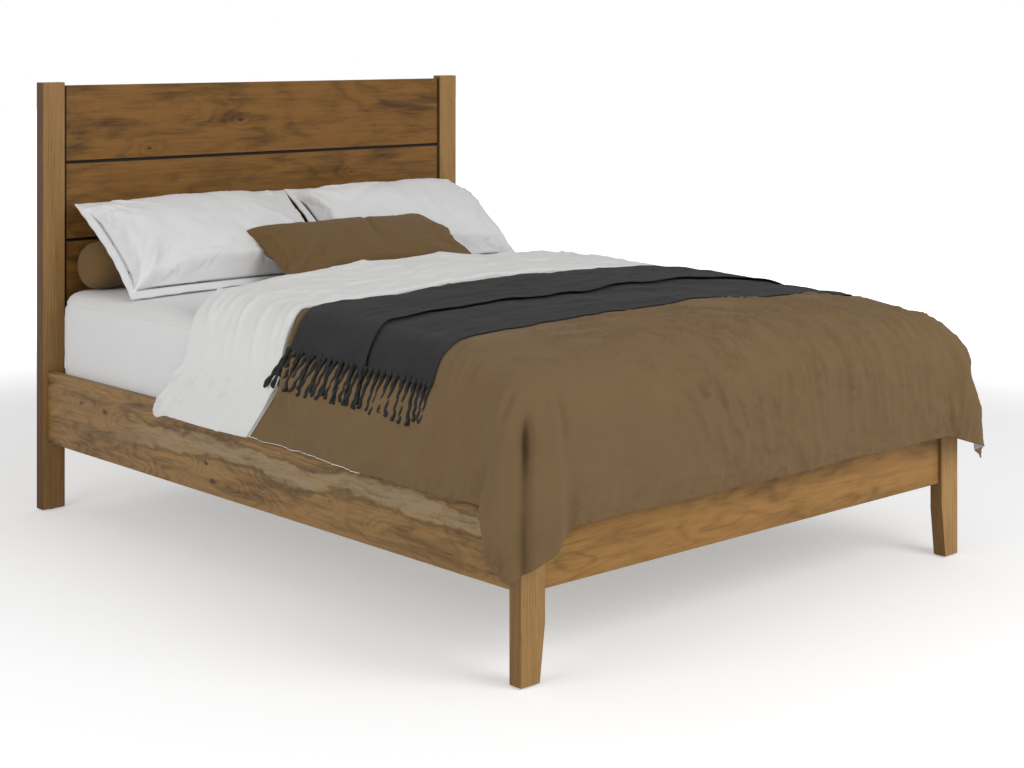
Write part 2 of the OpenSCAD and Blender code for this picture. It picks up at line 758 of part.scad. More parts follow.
// An open-bottomed skin over the mattress
module fitted_sheet() color(white_colour) {
  outer = mattress_rings(sheet_out);
  inner = mattress_rings(rest_gap);
  rows = len(outer);
  n = len(outer[0]);
  m = rows * n;
  peak = mattress_top + mattress_crown;
  polyhedron(
    points = concat(flat(outer), flat(inner),
                    [[0, mattress_y, peak + sheet_out], [0, mattress_y, peak + rest_gap]]),
    faces = concat(
      skin(rows, n, 0, true, false), fan(n, m - n, 2 * m, true),
      skin(rows, n, m, true, true), fan(n, 2 * m - n, 2 * m + 1, false),
      [for (c = [0:n - 1]) let (d = (c + 1) % n) each [[c, d, m + d], [c, m + d, m + c]]]));
}

// Duvet and throw. A place on a cover is a column c across the bed and a row r along it.
// Past the top's edge both turn down: a whole step of each is the turn, and the rest hangs.

cover_turns = 3;
cover_hangs = 4;
cover_flats = 5;
y_fold = mattress_head_y - duvet_head;
y_turned_hem = y_fold - turn_down;
y_throw = y_fold - throw_head;
// Length of the step at a hem, and of the round at the fold
step_l = 12;
fold_l = 20;
// How far the top falls at the fold, and over what length it falls to the foot
fold_fall = 24;
foot_fall_l = 260;
// Shares of the puff that the top has along its middle, gains at the fold and loses at the foot
mid_share = 0.35;
fold_share = 0.35;
foot_share = 0.4;
// Share of the turned-down part's thickness that is lost at the sides
turn_thins = 0.4;
cover_x = x_out + duvet_side_out;
cover_fold_x = x_out + duvet_fold_out;
cover_y = y_foot - duvet_foot_out;
cover_flat_y = cover_y + duvet_turn;

// Rows along the flat top, from the fold to the foot
COVER_ROWS = concat(
  [y_fold, y_fold - fold_l],
  [for (i = [1:4]) mix(y_fold - fold_l, y_turned_hem, i / 4)],
  [y_turned_hem - step_l, y_throw],
  [for (i = [1:2]) y_throw - throw_double_w * i / 2],
  [y_throw - throw_double_w - step_l],
  [mix(y_throw - throw_double_w - step_l, y_throw - throw_w, 0.5), y_throw - throw_w],
  [for (i = [1:3]) mix(y_throw - throw_w, cover_flat_y, i / 3)]);
THROW_FIRST = 7;
THROW_STEP = 10;
THROW_LAST = 12;

// How far past the top's edge a step is, from 0 to 1 for the turn and to 2 for the hem
BEYOND = concat([for (i = [1:cover_turns]) i / cover_turns],
                [for (i = [1:cover_hangs]) 1 + i / cover_hangs]);
COVER_COLUMNS = concat([for (i = [len(BEYOND) - 1:-1:0]) -1 - BEYOND[i]],
                       [for (i = [-cover_flats:cover_flats]) i / cover_flats],
                       [for (b = BEYOND) 1 + b]);

// Height of the duvet's outside over the flat top
function cover_top(x, y) =
  let (across = min(1, abs(x) / cover_x), down = ramp(cover_flat_y + foot_fall_l, cover_y, y))
    mattress_top + duvet_loft + duvet_puff * (mid_share - pow(across, 3))
    + turn_t * ramp(y_turned_hem - step_l, y_turned_hem, y) * (1 - turn_thins * across)
    + duvet_puff * fold_share * ramp(y_turned_hem, y_fold, y) * (1 - across)
    - duvet_puff * foot_share * down - fold_fall * ramp(y_fold - fold_l, y_fold, y);

// Height of its lining over the flat top
lining_lift = 1.8;
function lining_top(x, y) = sheet_top + lining_lift + crown_at(x, y);

// Length past the edge: the turn's arc and then the hanging part
function past(b, r, hang) = b <= 0 ? 0 : b < 1 ? b * r * PI / 2 : r * PI / 2 + (b - 1) * hang;
function turned_out(d, r) = d < r * PI / 2 ? r * sin(d / r * 180 / PI) : r;
function turned_down(d, r) = d < r * PI / 2 ? r * (1 - cos(d / r * 180 / PI)) : r + d - r * PI / 2;

// Towards the fold the cover narrows to the rails. Its rows slide towards the foot where
// they turn down, less so at the fold, and next to it they slant back as they hang.
narrows_in_l = 600;
slides_in_l = 420;
side_slide = 115;
fold_slide = 70;
fold_slant = 1;
function cover_x_at(y) = mix(cover_x, cover_fold_x, ramp(y_turned_hem - narrows_in_l, y_turned_hem, y));
function slide(y) = side_slide * ramp(cover_flat_y, cover_flat_y + slides_in_l, y)
                    - (side_slide - fold_slide) * ramp(y_turned_hem, y_fold, y);
function slant(y) = fold_slant * ramp(y_throw, y_turned_hem, y);

// Roundness of the foot corners, how far they stand out, and the length over which waves set in
corner_power = 2.3;
corner_out = 18;
corner_flare = 0.1;
wave_in_l = 150;

// A point of a layer whose half width is hx and whose foot is at fy. The top's height is z0.
function layer_point(c, y, b_foot, hx, fy, r, z0, wavy) =
  let (side = sign(c), b_side = abs(c) - 1,
       fx = min(1, abs(c)) * (hx - r),
       top = z0,
       du = past(b_side, r, top - r - (z_rail_top - duvet_side_hang)),
       dv = past(b_foot, r, top - r - (z_rail_top - duvet_foot_hang)),
       d = du > 0 && dv > 0
         ? pow(pow(du, corner_power) + pow(dv, corner_power), 1 / corner_power) : du + dv,
       turn = atan2(dv, du),
       hang = max(0, d - r * PI / 2),
       corner = du > 0 && dv > 0 ? sin(2 * turn) : 0,
       along = dv > 0 && du == 0 ? fx * side : y,
       out = turned_out(d, r) * (1 + corner_flare * corner * wavy) + corner * corner_out
             + wavy * wave * min(1, hang / wave_in_l) * sin(360 * along / wave_pitch),
       down = turned_down(d, r))
    [side * (fx + (du > 0 || dv == 0 ? out * cos(turn) * (du > 0 ? 1 : 0) : 0)),
     y - (dv > 0 ? out * sin(turn) : slide(y) * sin(min(90, d / r * 180 / PI)) - slant(y) * hang),
     top - down];

// Rows of the cover: their y on the flat top, and how far past the foot edge they are
ROWS = concat([for (y = COVER_ROWS) [y, 0]], [for (b = BEYOND) [cover_flat_y, b]]);

function outer_cover() = [for (row = ROWS)
  [for (c = COVER_COLUMNS)
    let (y = row[0],
         hx = cover_x_at(y),
         x = sign(c) * min(1, abs(c)) * (hx - duvet_turn))
      layer_point(c, y, row[1], hx, cover_y, duvet_turn, cover_top(x, y), 1)]];

lining_turn = 46;
// How far past the foot legs the lining starts to draw in to the rails, and where it ends
draw_in_from = 60;
draw_in_to = 260;
lining_y = y_foot - duvet_clear;
lining_flat_y = lining_y + lining_turn;

// The lining hangs close outside the rails, and clears the legs at the foot
function lining_x(y) = mix(x_out + duvet_clear, x_rail + duvet_clear,
  ramp(y_leg + draw_in_from, y_leg + draw_in_to, y));

function lining() = [for (row = ROWS)
  [for (c = COVER_COLUMNS)
    let (flat_share = (y_fold - row[0]) / (y_fold - cover_flat_y),
         y = mix(y_fold, lining_flat_y, flat_share),
         hx = lining_x(y),
         x = sign(c) * min(1, abs(c)) * (hx - lining_turn))
      layer_point(c, y, row[1], hx, lining_y, lining_turn, lining_top(x, y), 0)]];

module duvet() color(duvet_colour) between(outer_cover(), lining());

// Way out from the duvet at a column: up on the flat top, sideways where it hangs
function way_out(c) =
  let (a = min(1, max(0, abs(c) - 1)) * 90)
    [sign(c) * sin(a), 0, cos(a)];

throw_lift = 0.6;
throw_columns = [for (i = [0:len(COVER_COLUMNS) - 1]) if (abs(COVER_COLUMNS[i]) <= 2) i];

// A layer of the throw, lifted off the duvet's cover. Its doubled part is thicker.
function throw_layer(cover, lift, doubled) = [for (r = [THROW_FIRST:THROW_LAST])
  [for (i = throw_columns)
    cover[r][i] + way_out(COVER_COLUMNS[i]) * (lift + (r < THROW_STEP ? doubled : 0))]];

module throw() {
  cover = outer_cover();
  color(throw_colour)
    between(throw_layer(cover, throw_lift + throw_t, throw_t), throw_layer(cover, throw_lift, 0));
}

// Share of a tassel's width at its root, how far its tip sways, and the turn to the next one's sway
tassel_root_share = 0.6;
tassel_sway = 4;
tassel_turn = 137;

// One tassel: a tapered strand of four sides from a root to a tip
module tassel(root, tip) {
  half = tassel_w / 2;
  function ring(p, s) = [for (k = [[-1, -1], [-1, 1], [1, 1], [1, -1]])
    p + [k[0] * s / 2, k[1] * s, 0]];
  polyhedron(points = concat(ring(root, half * tassel_root_share), ring(tip, half)),
             faces = concat(skin(2, 4, 0, true, false), [[3, 0, 1], [3, 1, 2], [4, 7, 5], [5, 7, 6]]));
}

// Point of the cover in a column, at y along the throw
function edge_at(cover, column, y) =
  let (r = max([for (q = [THROW_FIRST:THROW_LAST - 1]) if (ROWS[q][0] >= y) q]))
    mix(cover[r][column], cover[r + 1][column], (ROWS[r][0] - y) / (ROWS[r][0] - ROWS[r + 1][0]));

module throw_fringe() color(throw_colour) {
  cover = outer_cover();
  for (side = [-1, 1]) {
    column = side < 0 ? throw_columns[0] : throw_columns[len(throw_columns) - 1];
    for (k = [0:tassel_count - 1]) {
      y = mix(y_throw - tassel_w, y_throw - throw_w + tassel_w, k / (tassel_count - 1));
      root = edge_at(cover, column, y) + [side * (throw_lift + throw_t / 2), 0, -rest_gap];
      tassel(root, root + [side * wave, tassel_sway * sin(k * tassel_turn), -tassel_l]);
    }
  }
}

// Pillows and cushions: two crowned faces that meet in a thin seam.
// The sides draw in between the corners.

// Fullness of a pad from its middle to its seam
pad_inner_power = 2.4;
pad_outer_power = 0.6;
pad_columns = 12;
pad_rows = 8;
// How far the sides draw in, as shares of the half width
pillow_pull = 0.05;
lumbar_pull = 0.04;
lumbar_flange_w = 6;

function pad_share(t) = pow(max(0, 1 - pow(abs(t), pad_inner_power)), pad_outer_power);

function pad_face(w, h, crown, flange, pull) = [for (j = [pad_rows:-1:0])
  [for (i = [0:pad_columns])
    let (u = 2 * i / pad_columns - 1, v = 2 * j / pad_rows - 1,
         hx = w / 2, hy = h / 2,
         iu = min(1, abs(u) * hx / (hx - flange)), iv = min(1, abs(v) * hy / (hy - flange)))
      [u * hx * (1 - pull * (1 - v * v) * u * u),
       v * hy * (1 - pull * (1 - u * u) * v * v),
       sign(crown) * seam_t / 2 + crown * pad_share(iu) * pad_share(iv)]]];

module pad(w, h, front, back, flange, pull)
  between(pad_face(w, h, front, flange, pull), pad_face(w, h, -back, flange, pull));

// The lowest edge of a leaning pad stands on the sheet
module leaning(x, y, lift, lean, h)
  translate([x, y, sheet_top + lift]) rotate([lean, 0, 0]) translate([0, h / 2, 0]) children();

pillow_lift = 9.4;
lumbar_lift = 10.4;
y_pillow = y_panel - pillow_foot;
y_lumbar = y_pillow - lumbar_foot;

module pillow(side) color(white_colour)
  leaning(side * pillow_x, y_pillow, pillow_lift, pillow_lean, pillow_h)
    pad(pillow_w, pillow_h, pillow_front, pillow_back, flange_w, pillow_pull);

module lumbar_cushion() color(cushion_colour)
  leaning(lumbar_x, y_lumbar, lumbar_lift, lumbar_lean, lumbar_h)
    pad(lumbar_w, lumbar_h, lumbar_front, lumbar_back, lumbar_flange_w, lumbar_pull);

bolster_sides = 16;
bolster_dome = 3;

// Distance from the end and share of the radius, round the domed end of the bolster
BOLSTER_END = [[0, 0.35], [8, 0.72], [26, 0.93], [60, 1]];

module bolster() color(cushion_colour) {
  r = bolster_d / 2;
  y = y_post - r - rest_gap;
  z = sheet_top + crown_at(0, y) + r + rest_gap;
  half = bolster_l / 2;
  stations = concat([for (e = BOLSTER_END) [-half + e[0], e[1]]],
                    [for (i = [len(BOLSTER_END) - 1:-1:0]) [half - BOLSTER_END[i][0], BOLSTER_END[i][1]]]);
  loft([for (s = stations) [for (k = [0:bolster_sides - 1])
         let (a = 360 * k / bolster_sides) [s[0], y + r * s[1] * cos(a), z + r * s[1] * sin(a)]]],
       [-half - bolster_dome, y, z], [half + bolster_dome, y, z]);
}

mirror([1, 0, 0]) headboard_post();  // headboard_post_left
headboard_post();  // headboard_post_right
plank(0);  // plank_top
plank(1);  // plank_middle
plank(2);  // plank_bottom
batten(-1);  // batten_left
batten(1);  // batten_right
batten_screws();
head_cross_rail();
mirror([1, 0, 0]) foot_leg();  // foot_leg_left
foot_leg();  // foot_leg_right
foot_rail();
frame_glides();
mirror([1, 0, 0]) side_rail();  // side_rail_left
side_rail();  // side_rail_right
hook_plates();
receiver_plates();
rail_plate_screws();
mirror([1, 0, 0]) slat_cleat();  // slat_cleat_left
slat_cleat();  // slat_cleat_right
cleat_screws();
slat_screws();
center_beam();
beam_hanger_head();
beam_hanger_foot();
beam_hanger_screws();
support_leg(1);  // support_leg_head
support_leg(0);  // support_leg_middle
support_leg(-1);  // support_leg_foot
support_leg_bolts();
threaded_inserts();
leveller_stem(1);  // leveller_stem_head
leveller_stem(0);  // leveller_stem_middle
leveller_stem(-1);  // leveller_stem_foot
leveller_pad(1);  // leveller_pad_head
leveller_pad(0);  // leveller_pad_middle
leveller_pad(-1);  // leveller_pad_foot
mattress();
fitted_sheet();
duvet();
throw();
throw_fringe();
pillow(-1);  // pillow_left
pillow(1);  // pillow_right
lumbar_cushion();
bolster();
for (i = [1:slat_count]) slat(i);
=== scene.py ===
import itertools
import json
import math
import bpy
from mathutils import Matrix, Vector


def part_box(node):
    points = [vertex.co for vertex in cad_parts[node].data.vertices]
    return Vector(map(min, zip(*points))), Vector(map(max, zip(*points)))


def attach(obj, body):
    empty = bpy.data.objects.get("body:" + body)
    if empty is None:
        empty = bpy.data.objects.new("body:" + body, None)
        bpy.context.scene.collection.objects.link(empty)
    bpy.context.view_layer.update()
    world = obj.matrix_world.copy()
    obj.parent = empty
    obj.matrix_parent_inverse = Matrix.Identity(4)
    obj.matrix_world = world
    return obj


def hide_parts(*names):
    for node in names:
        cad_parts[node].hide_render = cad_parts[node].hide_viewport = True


bl_info = {
    "name": "Panel Bed Dressing",
    "version": (1, 0, 0),
    "blender": (4, 5, 0),
    "location": "View3D > Sidebar > Bed",
    "description": "Wood, metal, bedding and studio for the packed panel bed",
    "category": "Add Mesh",
}

import bmesh
import bpy
import numpy as np

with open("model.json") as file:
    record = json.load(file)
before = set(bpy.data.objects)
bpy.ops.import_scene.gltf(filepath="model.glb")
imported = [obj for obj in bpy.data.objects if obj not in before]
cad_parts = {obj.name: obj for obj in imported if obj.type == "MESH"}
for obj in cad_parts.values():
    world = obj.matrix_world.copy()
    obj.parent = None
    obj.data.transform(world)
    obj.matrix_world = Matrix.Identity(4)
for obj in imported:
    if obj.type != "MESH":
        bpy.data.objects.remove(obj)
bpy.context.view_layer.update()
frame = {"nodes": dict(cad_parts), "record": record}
CROWN = 0.010
MATTRESS_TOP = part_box("mattress")[1].z - CROWN
SHEET_TOP = MATTRESS_TOP + 0.0018
RAIL_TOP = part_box("side_rail_left")[1].z


# Numbers and noise

def mix(a, b, t):
    return a + (b - a) * t


def ramp(a, b, x):
    t = np.clip((np.asarray(x, float) - a) / (b - a), 0, 1)
    return t * t * (3 - 2 * t)


def bump_at(x, middle, width):
    """A smooth bump from 0 to 1, width wide at half its height"""
    return np.exp(-((np.asarray(x, float) - middle) / (0.6 * width)) ** 2)


NOISE_CELLS = 61


def noise(points, size, seed):
    """Smooth random values from -1 to 1, with features of the given size in metres"""
    points = np.asarray(points, float) / size + 1000
    cell = np.floor(points).astype(int)
    part = points - cell
    part = part ** 3 * (part * (part * 6 - 15) + 10)
    axes = points.shape[-1]
    lattice = np.random.default_rng(seed).uniform(-1, 1, (NOISE_CELLS,) * axes)
    total = 0
    for corner in itertools.product((0, 1), repeat=axes):
        weight = np.prod(np.where(corner, part, 1 - part), axis=-1)
        total = total + weight * lattice[tuple(((cell + corner) % NOISE_CELLS)[..., k] for k in range(axes))]
    return total


def layered(points, size, seed, octaves=3):
    """Noise in several sizes, each half as large and half as strong as the last"""
    points = np.asarray(points, float)
    return sum(noise(points, size / 2 ** k, seed + k) / 2 ** k for k in range(octaves))


def creases(points, size, seed):
    """Narrow ridges from 0 to 1 where the noise changes sign"""
    return (1 - np.minimum(1, np.abs(layered(points, size, seed, 2)) * 2.2)) ** 2


# Meshes

def new_object(name, points, faces, body):
    """A smooth mesh that rides on a body, if one is given"""
    mesh = bpy.data.meshes.new(name)
    mesh.from_pydata(np.asarray(points).reshape(-1, 3).tolist(), [], np.asarray(faces).tolist())
    mesh.update()
    piece = bpy.data.objects.new(name, mesh)
    bpy.context.scene.collection.objects.link(piece)
    mesh.shade_smooth()
    if body:
        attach(piece, body)
    return piece


def grid_faces(rows, columns, start=0, flip=False, closed=False):
    """Quads of a grid of points, which face up where columns run to +X and rows to -Y"""
    r, c = np.meshgrid(np.arange(rows - 1), np.arange(columns - (0 if closed else 1)), indexing="ij")
    a = start + r * columns + c
    b = start + r * columns + (c + 1) % columns
    quads = np.stack([a, a + columns, b + columns, b], -1).reshape(-1, 4)
    return quads[:, ::-1] if flip else quads


def grid_rim(rows, columns):
    """Numbers of the points round a grid, in order"""
    return np.concatenate([np.arange(columns - 1), np.arange(rows - 1) * columns + columns - 1,
                           (rows - 1) * columns + np.arange(columns - 1, 0, -1),
                           np.arange(rows - 1, 0, -1) * columns])


def grid_normals(points):
    """Directions that stand on a grid of points"""
    across = np.gradient(points, axis=1)
    along = np.gradient(points, axis=0)
    normal = np.cross(along, across)
    return normal / np.maximum(np.linalg.norm(normal, axis=-1, keepdims=True), 1e-9)


def outward(points):
    """Direction in the surface, away from a grid, at each point of its rim"""
    rows, columns = points.shape[:2]
    away = np.zeros_like(points)
    away[:, 0] += points[:, 0] - points[:, 1]
    away[:, -1] += points[:, -1] - points[:, -2]
    away[0] += points[0] - points[1]
    away[-1] += points[-1] - points[-2]
    away = away.reshape(-1, 3)[grid_rim(rows, columns)]
    return away / np.maximum(np.linalg.norm(away, axis=-1, keepdims=True), 1e-9)


def closed_shell(upper, lower, rim_steps, bulge):
    """A closed skin round two grids of equal size, with a rounded rim between them"""
    rows, columns = upper.shape[:2]
    count = rows * columns
    loop = grid_rim(rows, columns)
    top, bottom = upper.reshape(-1, 3)[loop], lower.reshape(-1, 3)[loop]
    away = outward(upper)
    points = [upper.reshape(-1, 3), lower.reshape(-1, 3)]
    rings = [loop]
    for k in range(1, rim_steps):
        turn = math.pi * k / rim_steps
        reach = np.asarray(bulge).reshape(-1, 1) * math.sin(turn)
        points.append(mix(top, bottom, (1 - math.cos(turn)) / 2) + away * reach)
        rings.append(2 * count + (k - 1) * len(loop) + np.arange(len(loop)))
    rings.append(loop + count)
    faces = [grid_faces(rows, columns), grid_faces(rows, columns, count, flip=True)]
    for near, far in zip(rings, rings[1:]):
        faces.append(np.stack([near, np.roll(near, -1), np.roll(far, -1), far], -1))
    return np.concatenate(points), np.concatenate(faces)


def add_uv(piece, values):
    """A UV map in metres from one pair of values for each point"""
    mesh = piece.data
    corners = np.empty(len(mesh.loops), int)
    mesh.loops.foreach_get("vertex_index", corners)
    layer = mesh.uv_layers.new(name="cloth")
    layer.data.foreach_set("uv", np.asarray(values, float)[corners].ravel())


# Shader and geometry nodes

class Nodes:
    """Adds nodes to a tree. A value that is a node or a socket is linked, and others are set."""

    def __init__(self, tree):
        self.tree = tree
        tree.nodes.clear()

    def put(self, socket, value):
        if value is None:
            return
        if isinstance(value, bpy.types.Node):
            value = next(s for s in value.outputs if s.enabled)
        if isinstance(value, bpy.types.NodeSocket):
            self.tree.links.new(value, socket)
        else:
            socket.default_value = value

    def add(self, kind, *inputs, named=None, **settings):
        node = self.tree.nodes.new(kind)
        for key, value in settings.items():
            setattr(node, key, value)
        sockets = [s for s in node.inputs if s.enabled]
        for socket, value in zip(sockets, inputs):
            self.put(socket, value)
        for name, value in (named or {}).items():
            self.put(next(s for s in sockets if s.name == name), value)
        return node

    def math(self, operation, *values):
        return self.add("ShaderNodeMath", *values, operation=operation)

    def vector(self, operation, *values):
        return self.add("ShaderNodeVectorMath", *values, operation=operation)

    def scaled(self, vector, factors, shift=(0, 0, 0)):
        return self.vector("MULTIPLY_ADD", vector, factors, shift)

    def noise(self, vector, scale=1.0, detail=2.0, rough=0.5, distortion=0.0):
        return self.add("ShaderNodeTexNoise", named={
            "Vector": vector, "Scale": scale, "Detail": detail, "Roughness": rough, "Distortion": distortion})

    def blend(self, share, a, b, mode="MIX"):
        return self.add("ShaderNodeMix", share, a, b, data_type="RGBA", blend_type=mode)

    def between(self, value, low, high, to_low=0.0, to_high=1.0, smooth=True):
        return self.add("ShaderNodeMapRange", value, low, high, to_low, to_high,
                        interpolation_type="SMOOTHSTEP" if smooth else "LINEAR")

    def group(self, tree, **inputs):
        node = self.tree.nodes.new("ShaderNodeGroup")
        node.node_tree = tree
        for name, value in inputs.items():
            self.put(node.inputs[name.replace("_", " ")], value)
        return node

    def place(self):
        """A point of the piece, in metres"""
        return self.add("ShaderNodeTexCoord").outputs["Object"]

    def bump(self, height, strength, distance):
        return self.add("ShaderNodeBump", named={
            "Strength": strength, "Distance": distance, "Height": height})

    def seen(self):
        """1 for rays that see a surface directly, in a gloss or through glass"""
        path = self.add("ShaderNodeLightPath")
        direct = self.math("MAXIMUM", path.outputs["Is Camera Ray"], path.outputs["Is Glossy Ray"])
        return self.math("MAXIMUM", direct, path.outputs["Is Transmission Ray"])


def new_group(name, inputs, outputs, kind="ShaderNodeTree"):
    tree = bpy.data.node_groups.new(name, kind)
    for text, socket, default in inputs:
        made = tree.interface.new_socket(text, in_out="INPUT", socket_type="NodeSocket" + socket)
        if default is not None:
            made.default_value = default
    for text, socket in outputs:
        tree.interface.new_socket(text, in_out="OUTPUT", socket_type="NodeSocket" + socket)
    nodes = Nodes(tree)
    return tree, nodes, nodes.add("NodeGroupInput"), nodes.add("NodeGroupOutput")


def make_wood_group():
    """Grain that runs along X: growth rings, fibres, pores and darker patches"""
    tree, n, given, out = new_group("Wood figure", [
        ("Vector", "Vector", None),
        ("Light", "Color", (0.5, 0.3, 0.15, 1)), ("Dark", "Color", (0.2, 0.1, 0.05, 1)),
        ("Ring width", "Float", 0.012), ("Ring share", "Float", 0.5), ("Waviness", "Float", 0.05),
        ("Patches", "Float", 0.5), ("Bend", "Float", 0.0), ("Heart", "Float", 0.0)],
        [("Color", "Color"), ("Roughness", "Float"), ("Height", "Float")])
    p = given.outputs["Vector"]
    slow = n.noise(n.scaled(p, (1.3, 4.5, 4.5)), detail=3, rough=0.55)
    warp = n.scaled(n.vector("SUBTRACT", slow.outputs[1], (0.5, 0.5, 0.5)), (1, 1, 1))
    warp = n.add("ShaderNodeSeparateXYZ", warp)
    place = n.add("ShaderNodeSeparateXYZ", p)
    wave = given.outputs["Waviness"]
    across = n.math("MULTIPLY_ADD", warp.outputs[0], wave, place.outputs[2])
    depth = n.math("MULTIPLY_ADD", warp.outputs[1], n.math("MULTIPLY", wave, 2.2),
                   n.math("MULTIPLY_ADD", place.outputs[0], 0.045, n.math("ADD", place.outputs[1], 0.07)))
    across, depth = n.math("MULTIPLY", across, across), n.math("MULTIPLY", depth, depth)
    radius = n.math("SQRT", n.math("ADD", across, depth))
    turns = n.math("ADD", n.math("DIVIDE", radius, given.outputs["Ring width"]), given.outputs["Bend"])
    ring = n.math("MULTIPLY_ADD", n.math("SINE", n.math("MULTIPLY", turns, math.tau)), 0.5, 0.5)
    ring = n.math("POWER", ring, 2.5)
    strength = n.noise(n.scaled(p, (2.5, 12, 12)), detail=2)
    ring = n.math("MULTIPLY", n.math("MULTIPLY", ring, given.outputs["Ring share"]),
                  n.between(strength, 0.35, 0.65, 0.25, 1.0))
    streak = n.noise(n.scaled(p, (1.7, 55, 55), (1, 2, 3)), detail=4, rough=0.6)
    fibre = n.noise(n.scaled(p, (7, 170, 170)), detail=3, rough=0.6)
    hair = n.noise(n.scaled(p, (28, 620, 620)), detail=2, rough=0.6)
    patch = n.noise(n.scaled(p, (4.0, 17, 17)), detail=5, rough=0.65, distortion=0.5)
    shade = n.math("MULTIPLY", n.between(patch, 0.42, 0.72), given.outputs["Patches"])
    shade = n.math("ADD", shade, ring)
    for grain, *limits in ((streak, 0.3, 0.7, -0.12, 0.2), (fibre, 0.25, 0.8, -0.2, 0.28),
                           (hair, 0.3, 0.8, -0.05, 0.1)):
        shade = n.math("ADD", shade, n.between(grain, *limits, smooth=False))
    shade = n.add("ShaderNodeClamp", shade)
    dark = given.outputs["Dark"]
    colour = n.blend(shade, given.outputs["Light"], dark)
    pore = n.between(n.noise(n.scaled(p, (16, 420, 420), (3, 7, 5)), detail=1), 0.66, 0.76)
    colour = n.blend(n.math("MULTIPLY", pore, 0.45), colour, n.blend(0.6, dark, (0, 0, 0, 1)))
    colour = n.blend(given.outputs["Heart"], colour, n.blend(0.72, dark, (0.01, 0.006, 0.003, 1)))
    n.put(out.inputs["Color"], colour)
    dull = n.math("ADD", fibre, n.math("MULTIPLY", pore, 0.4))
    n.put(out.inputs["Roughness"], n.between(dull, 0.2, 1.0, 0.4, 0.58))
    height = n.math("SUBTRACT", n.math("MULTIPLY_ADD", hair, 0.35, n.math("MULTIPLY", fibre, 0.5)),
                    n.math("ADD", n.math("MULTIPLY", pore, 0.8), n.math("MULTIPLY", ring, 0.12)))
    n.put(out.inputs["Height"], height)
    return tree


def make_knot_group():
    """A knot: how far it bends the rings, and its dark heart"""
    tree, n, given, out = new_group("Knot", [
        ("Vector", "Vector", None), ("Place", "Vector", (0, 0, 0)), ("Size", "Float", 0.03),
        ("Bend so far", "Float", 0.0), ("Heart so far", "Float", 0.0)],
        [("Bend", "Float"), ("Heart", "Float")])
    offset = n.vector("SUBTRACT", given.outputs["Vector"], given.outputs["Place"])
    wobble = n.noise(n.scaled(given.outputs["Vector"], (30, 30, 30)), detail=2)
    offset = n.vector("MULTIPLY", offset, (0.5, 0.15, 1))
    far = n.math("DIVIDE", n.vector("LENGTH", offset).outputs[1], given.outputs["Size"])
    far = n.math("MULTIPLY_ADD", n.math("SUBTRACT", wobble, 0.5), 0.7, far)
    bend = n.math("DIVIDE", 2.6, n.math("MULTIPLY_ADD", n.math("MULTIPLY", far, far), 0.5, 1.0))
    n.put(out.inputs["Bend"], n.math("ADD", bend, given.outputs["Bend so far"]))
    heart = n.between(far, 0.15, 0.42, 0.85, 0.0)
    n.put(out.inputs["Heart"], n.math("MAXIMUM", heart, given.outputs["Heart so far"]))
    return tree


def make_edge_group():
    """Where a piece has an edge, found by comparing the face with a bevelled one"""
    tree, n, given, out = new_group("Edge mask", [("Radius", "Float", 0.004), ("Vector", "Vector", None)],
                                    [("Mask", "Float")])
    bevel = n.add("ShaderNodeBevel", given.outputs["Radius"], samples=4)
    face = n.add("ShaderNodeNewGeometry")
    same = n.vector("DOT_PRODUCT", bevel, face.outputs["Normal"]).outputs[1]
    patchy = n.noise(given.outputs["Vector"], scale=45, detail=3)
    mask = n.math("MULTIPLY", n.between(same, 0.97, 0.8), n.between(patchy, 0.3, 0.6, 0.3, 1.0))
    n.put(out.inputs["Mask"], mask)
    return tree


def make_weave_group():
    """Threads that cross, with slubs and soft blotches"""
    tree, n, given, out = new_group("Weave", [
        ("Vector", "Vector", None), ("Color", "Color", (0.5, 0.5, 0.5, 1)), ("Pitch", "Float", 0.001),
        ("Slubs", "Float", 0.1), ("Blotches", "Float", 0.1)], [("Color", "Color"), ("Height", "Float")])
    p = given.outputs["Vector"]
    pace = n.math("DIVIDE", math.tau, given.outputs["Pitch"])
    place = n.add("ShaderNodeSeparateXYZ", n.vector("SCALE", p, None, None, pace))
    u, v = n.math("SINE", place.outputs[0]), n.math("SINE", place.outputs[1])
    threads = n.math("MULTIPLY_ADD", n.math("MULTIPLY", u, v), 0.5, 0.5)
    warp = n.noise(n.scaled(p, (900, 14, 200)), detail=2)
    weft = n.noise(n.scaled(p, (14, 900, 200)), detail=2)
    slub = n.math("SUBTRACT", n.math("ADD", warp, weft), 1.0)
    cloud = n.math("SUBTRACT", n.noise(p, scale=9, detail=4, rough=0.6), 0.5)
    light = n.math("ADD", n.math("MULTIPLY_ADD", slub, given.outputs["Slubs"], 1.0),
                   n.math("MULTIPLY", cloud, given.outputs["Blotches"]))
    light = n.math("MULTIPLY_ADD", n.math("SUBTRACT", threads, 0.5), 0.06, light)
    n.put(out.inputs["Color"], n.vector("MULTIPLY", given.outputs["Color"], light))
    n.put(out.inputs["Height"], n.math("ADD", threads, n.math("MULTIPLY", slub, 1.6)))
    return tree


def new_material(name):
    material = bpy.data.materials.new(name)
    material.use_nodes = True
    n = Nodes(material.node_tree)
    surface = n.add("ShaderNodeBsdfPrincipled")
    n.put(n.add("ShaderNodeOutputMaterial").inputs["Surface"], surface)
    return material, n, surface


def shared(name, make):
    """One of the shared groups, made the first time that it is needed"""
    return bpy.data.node_groups.get(name) or make()


GRAIN_TURNS = {"x": (0, 0, 0), "y": (0, 0, math.radians(90)), "z": (0, math.radians(90), 0)}


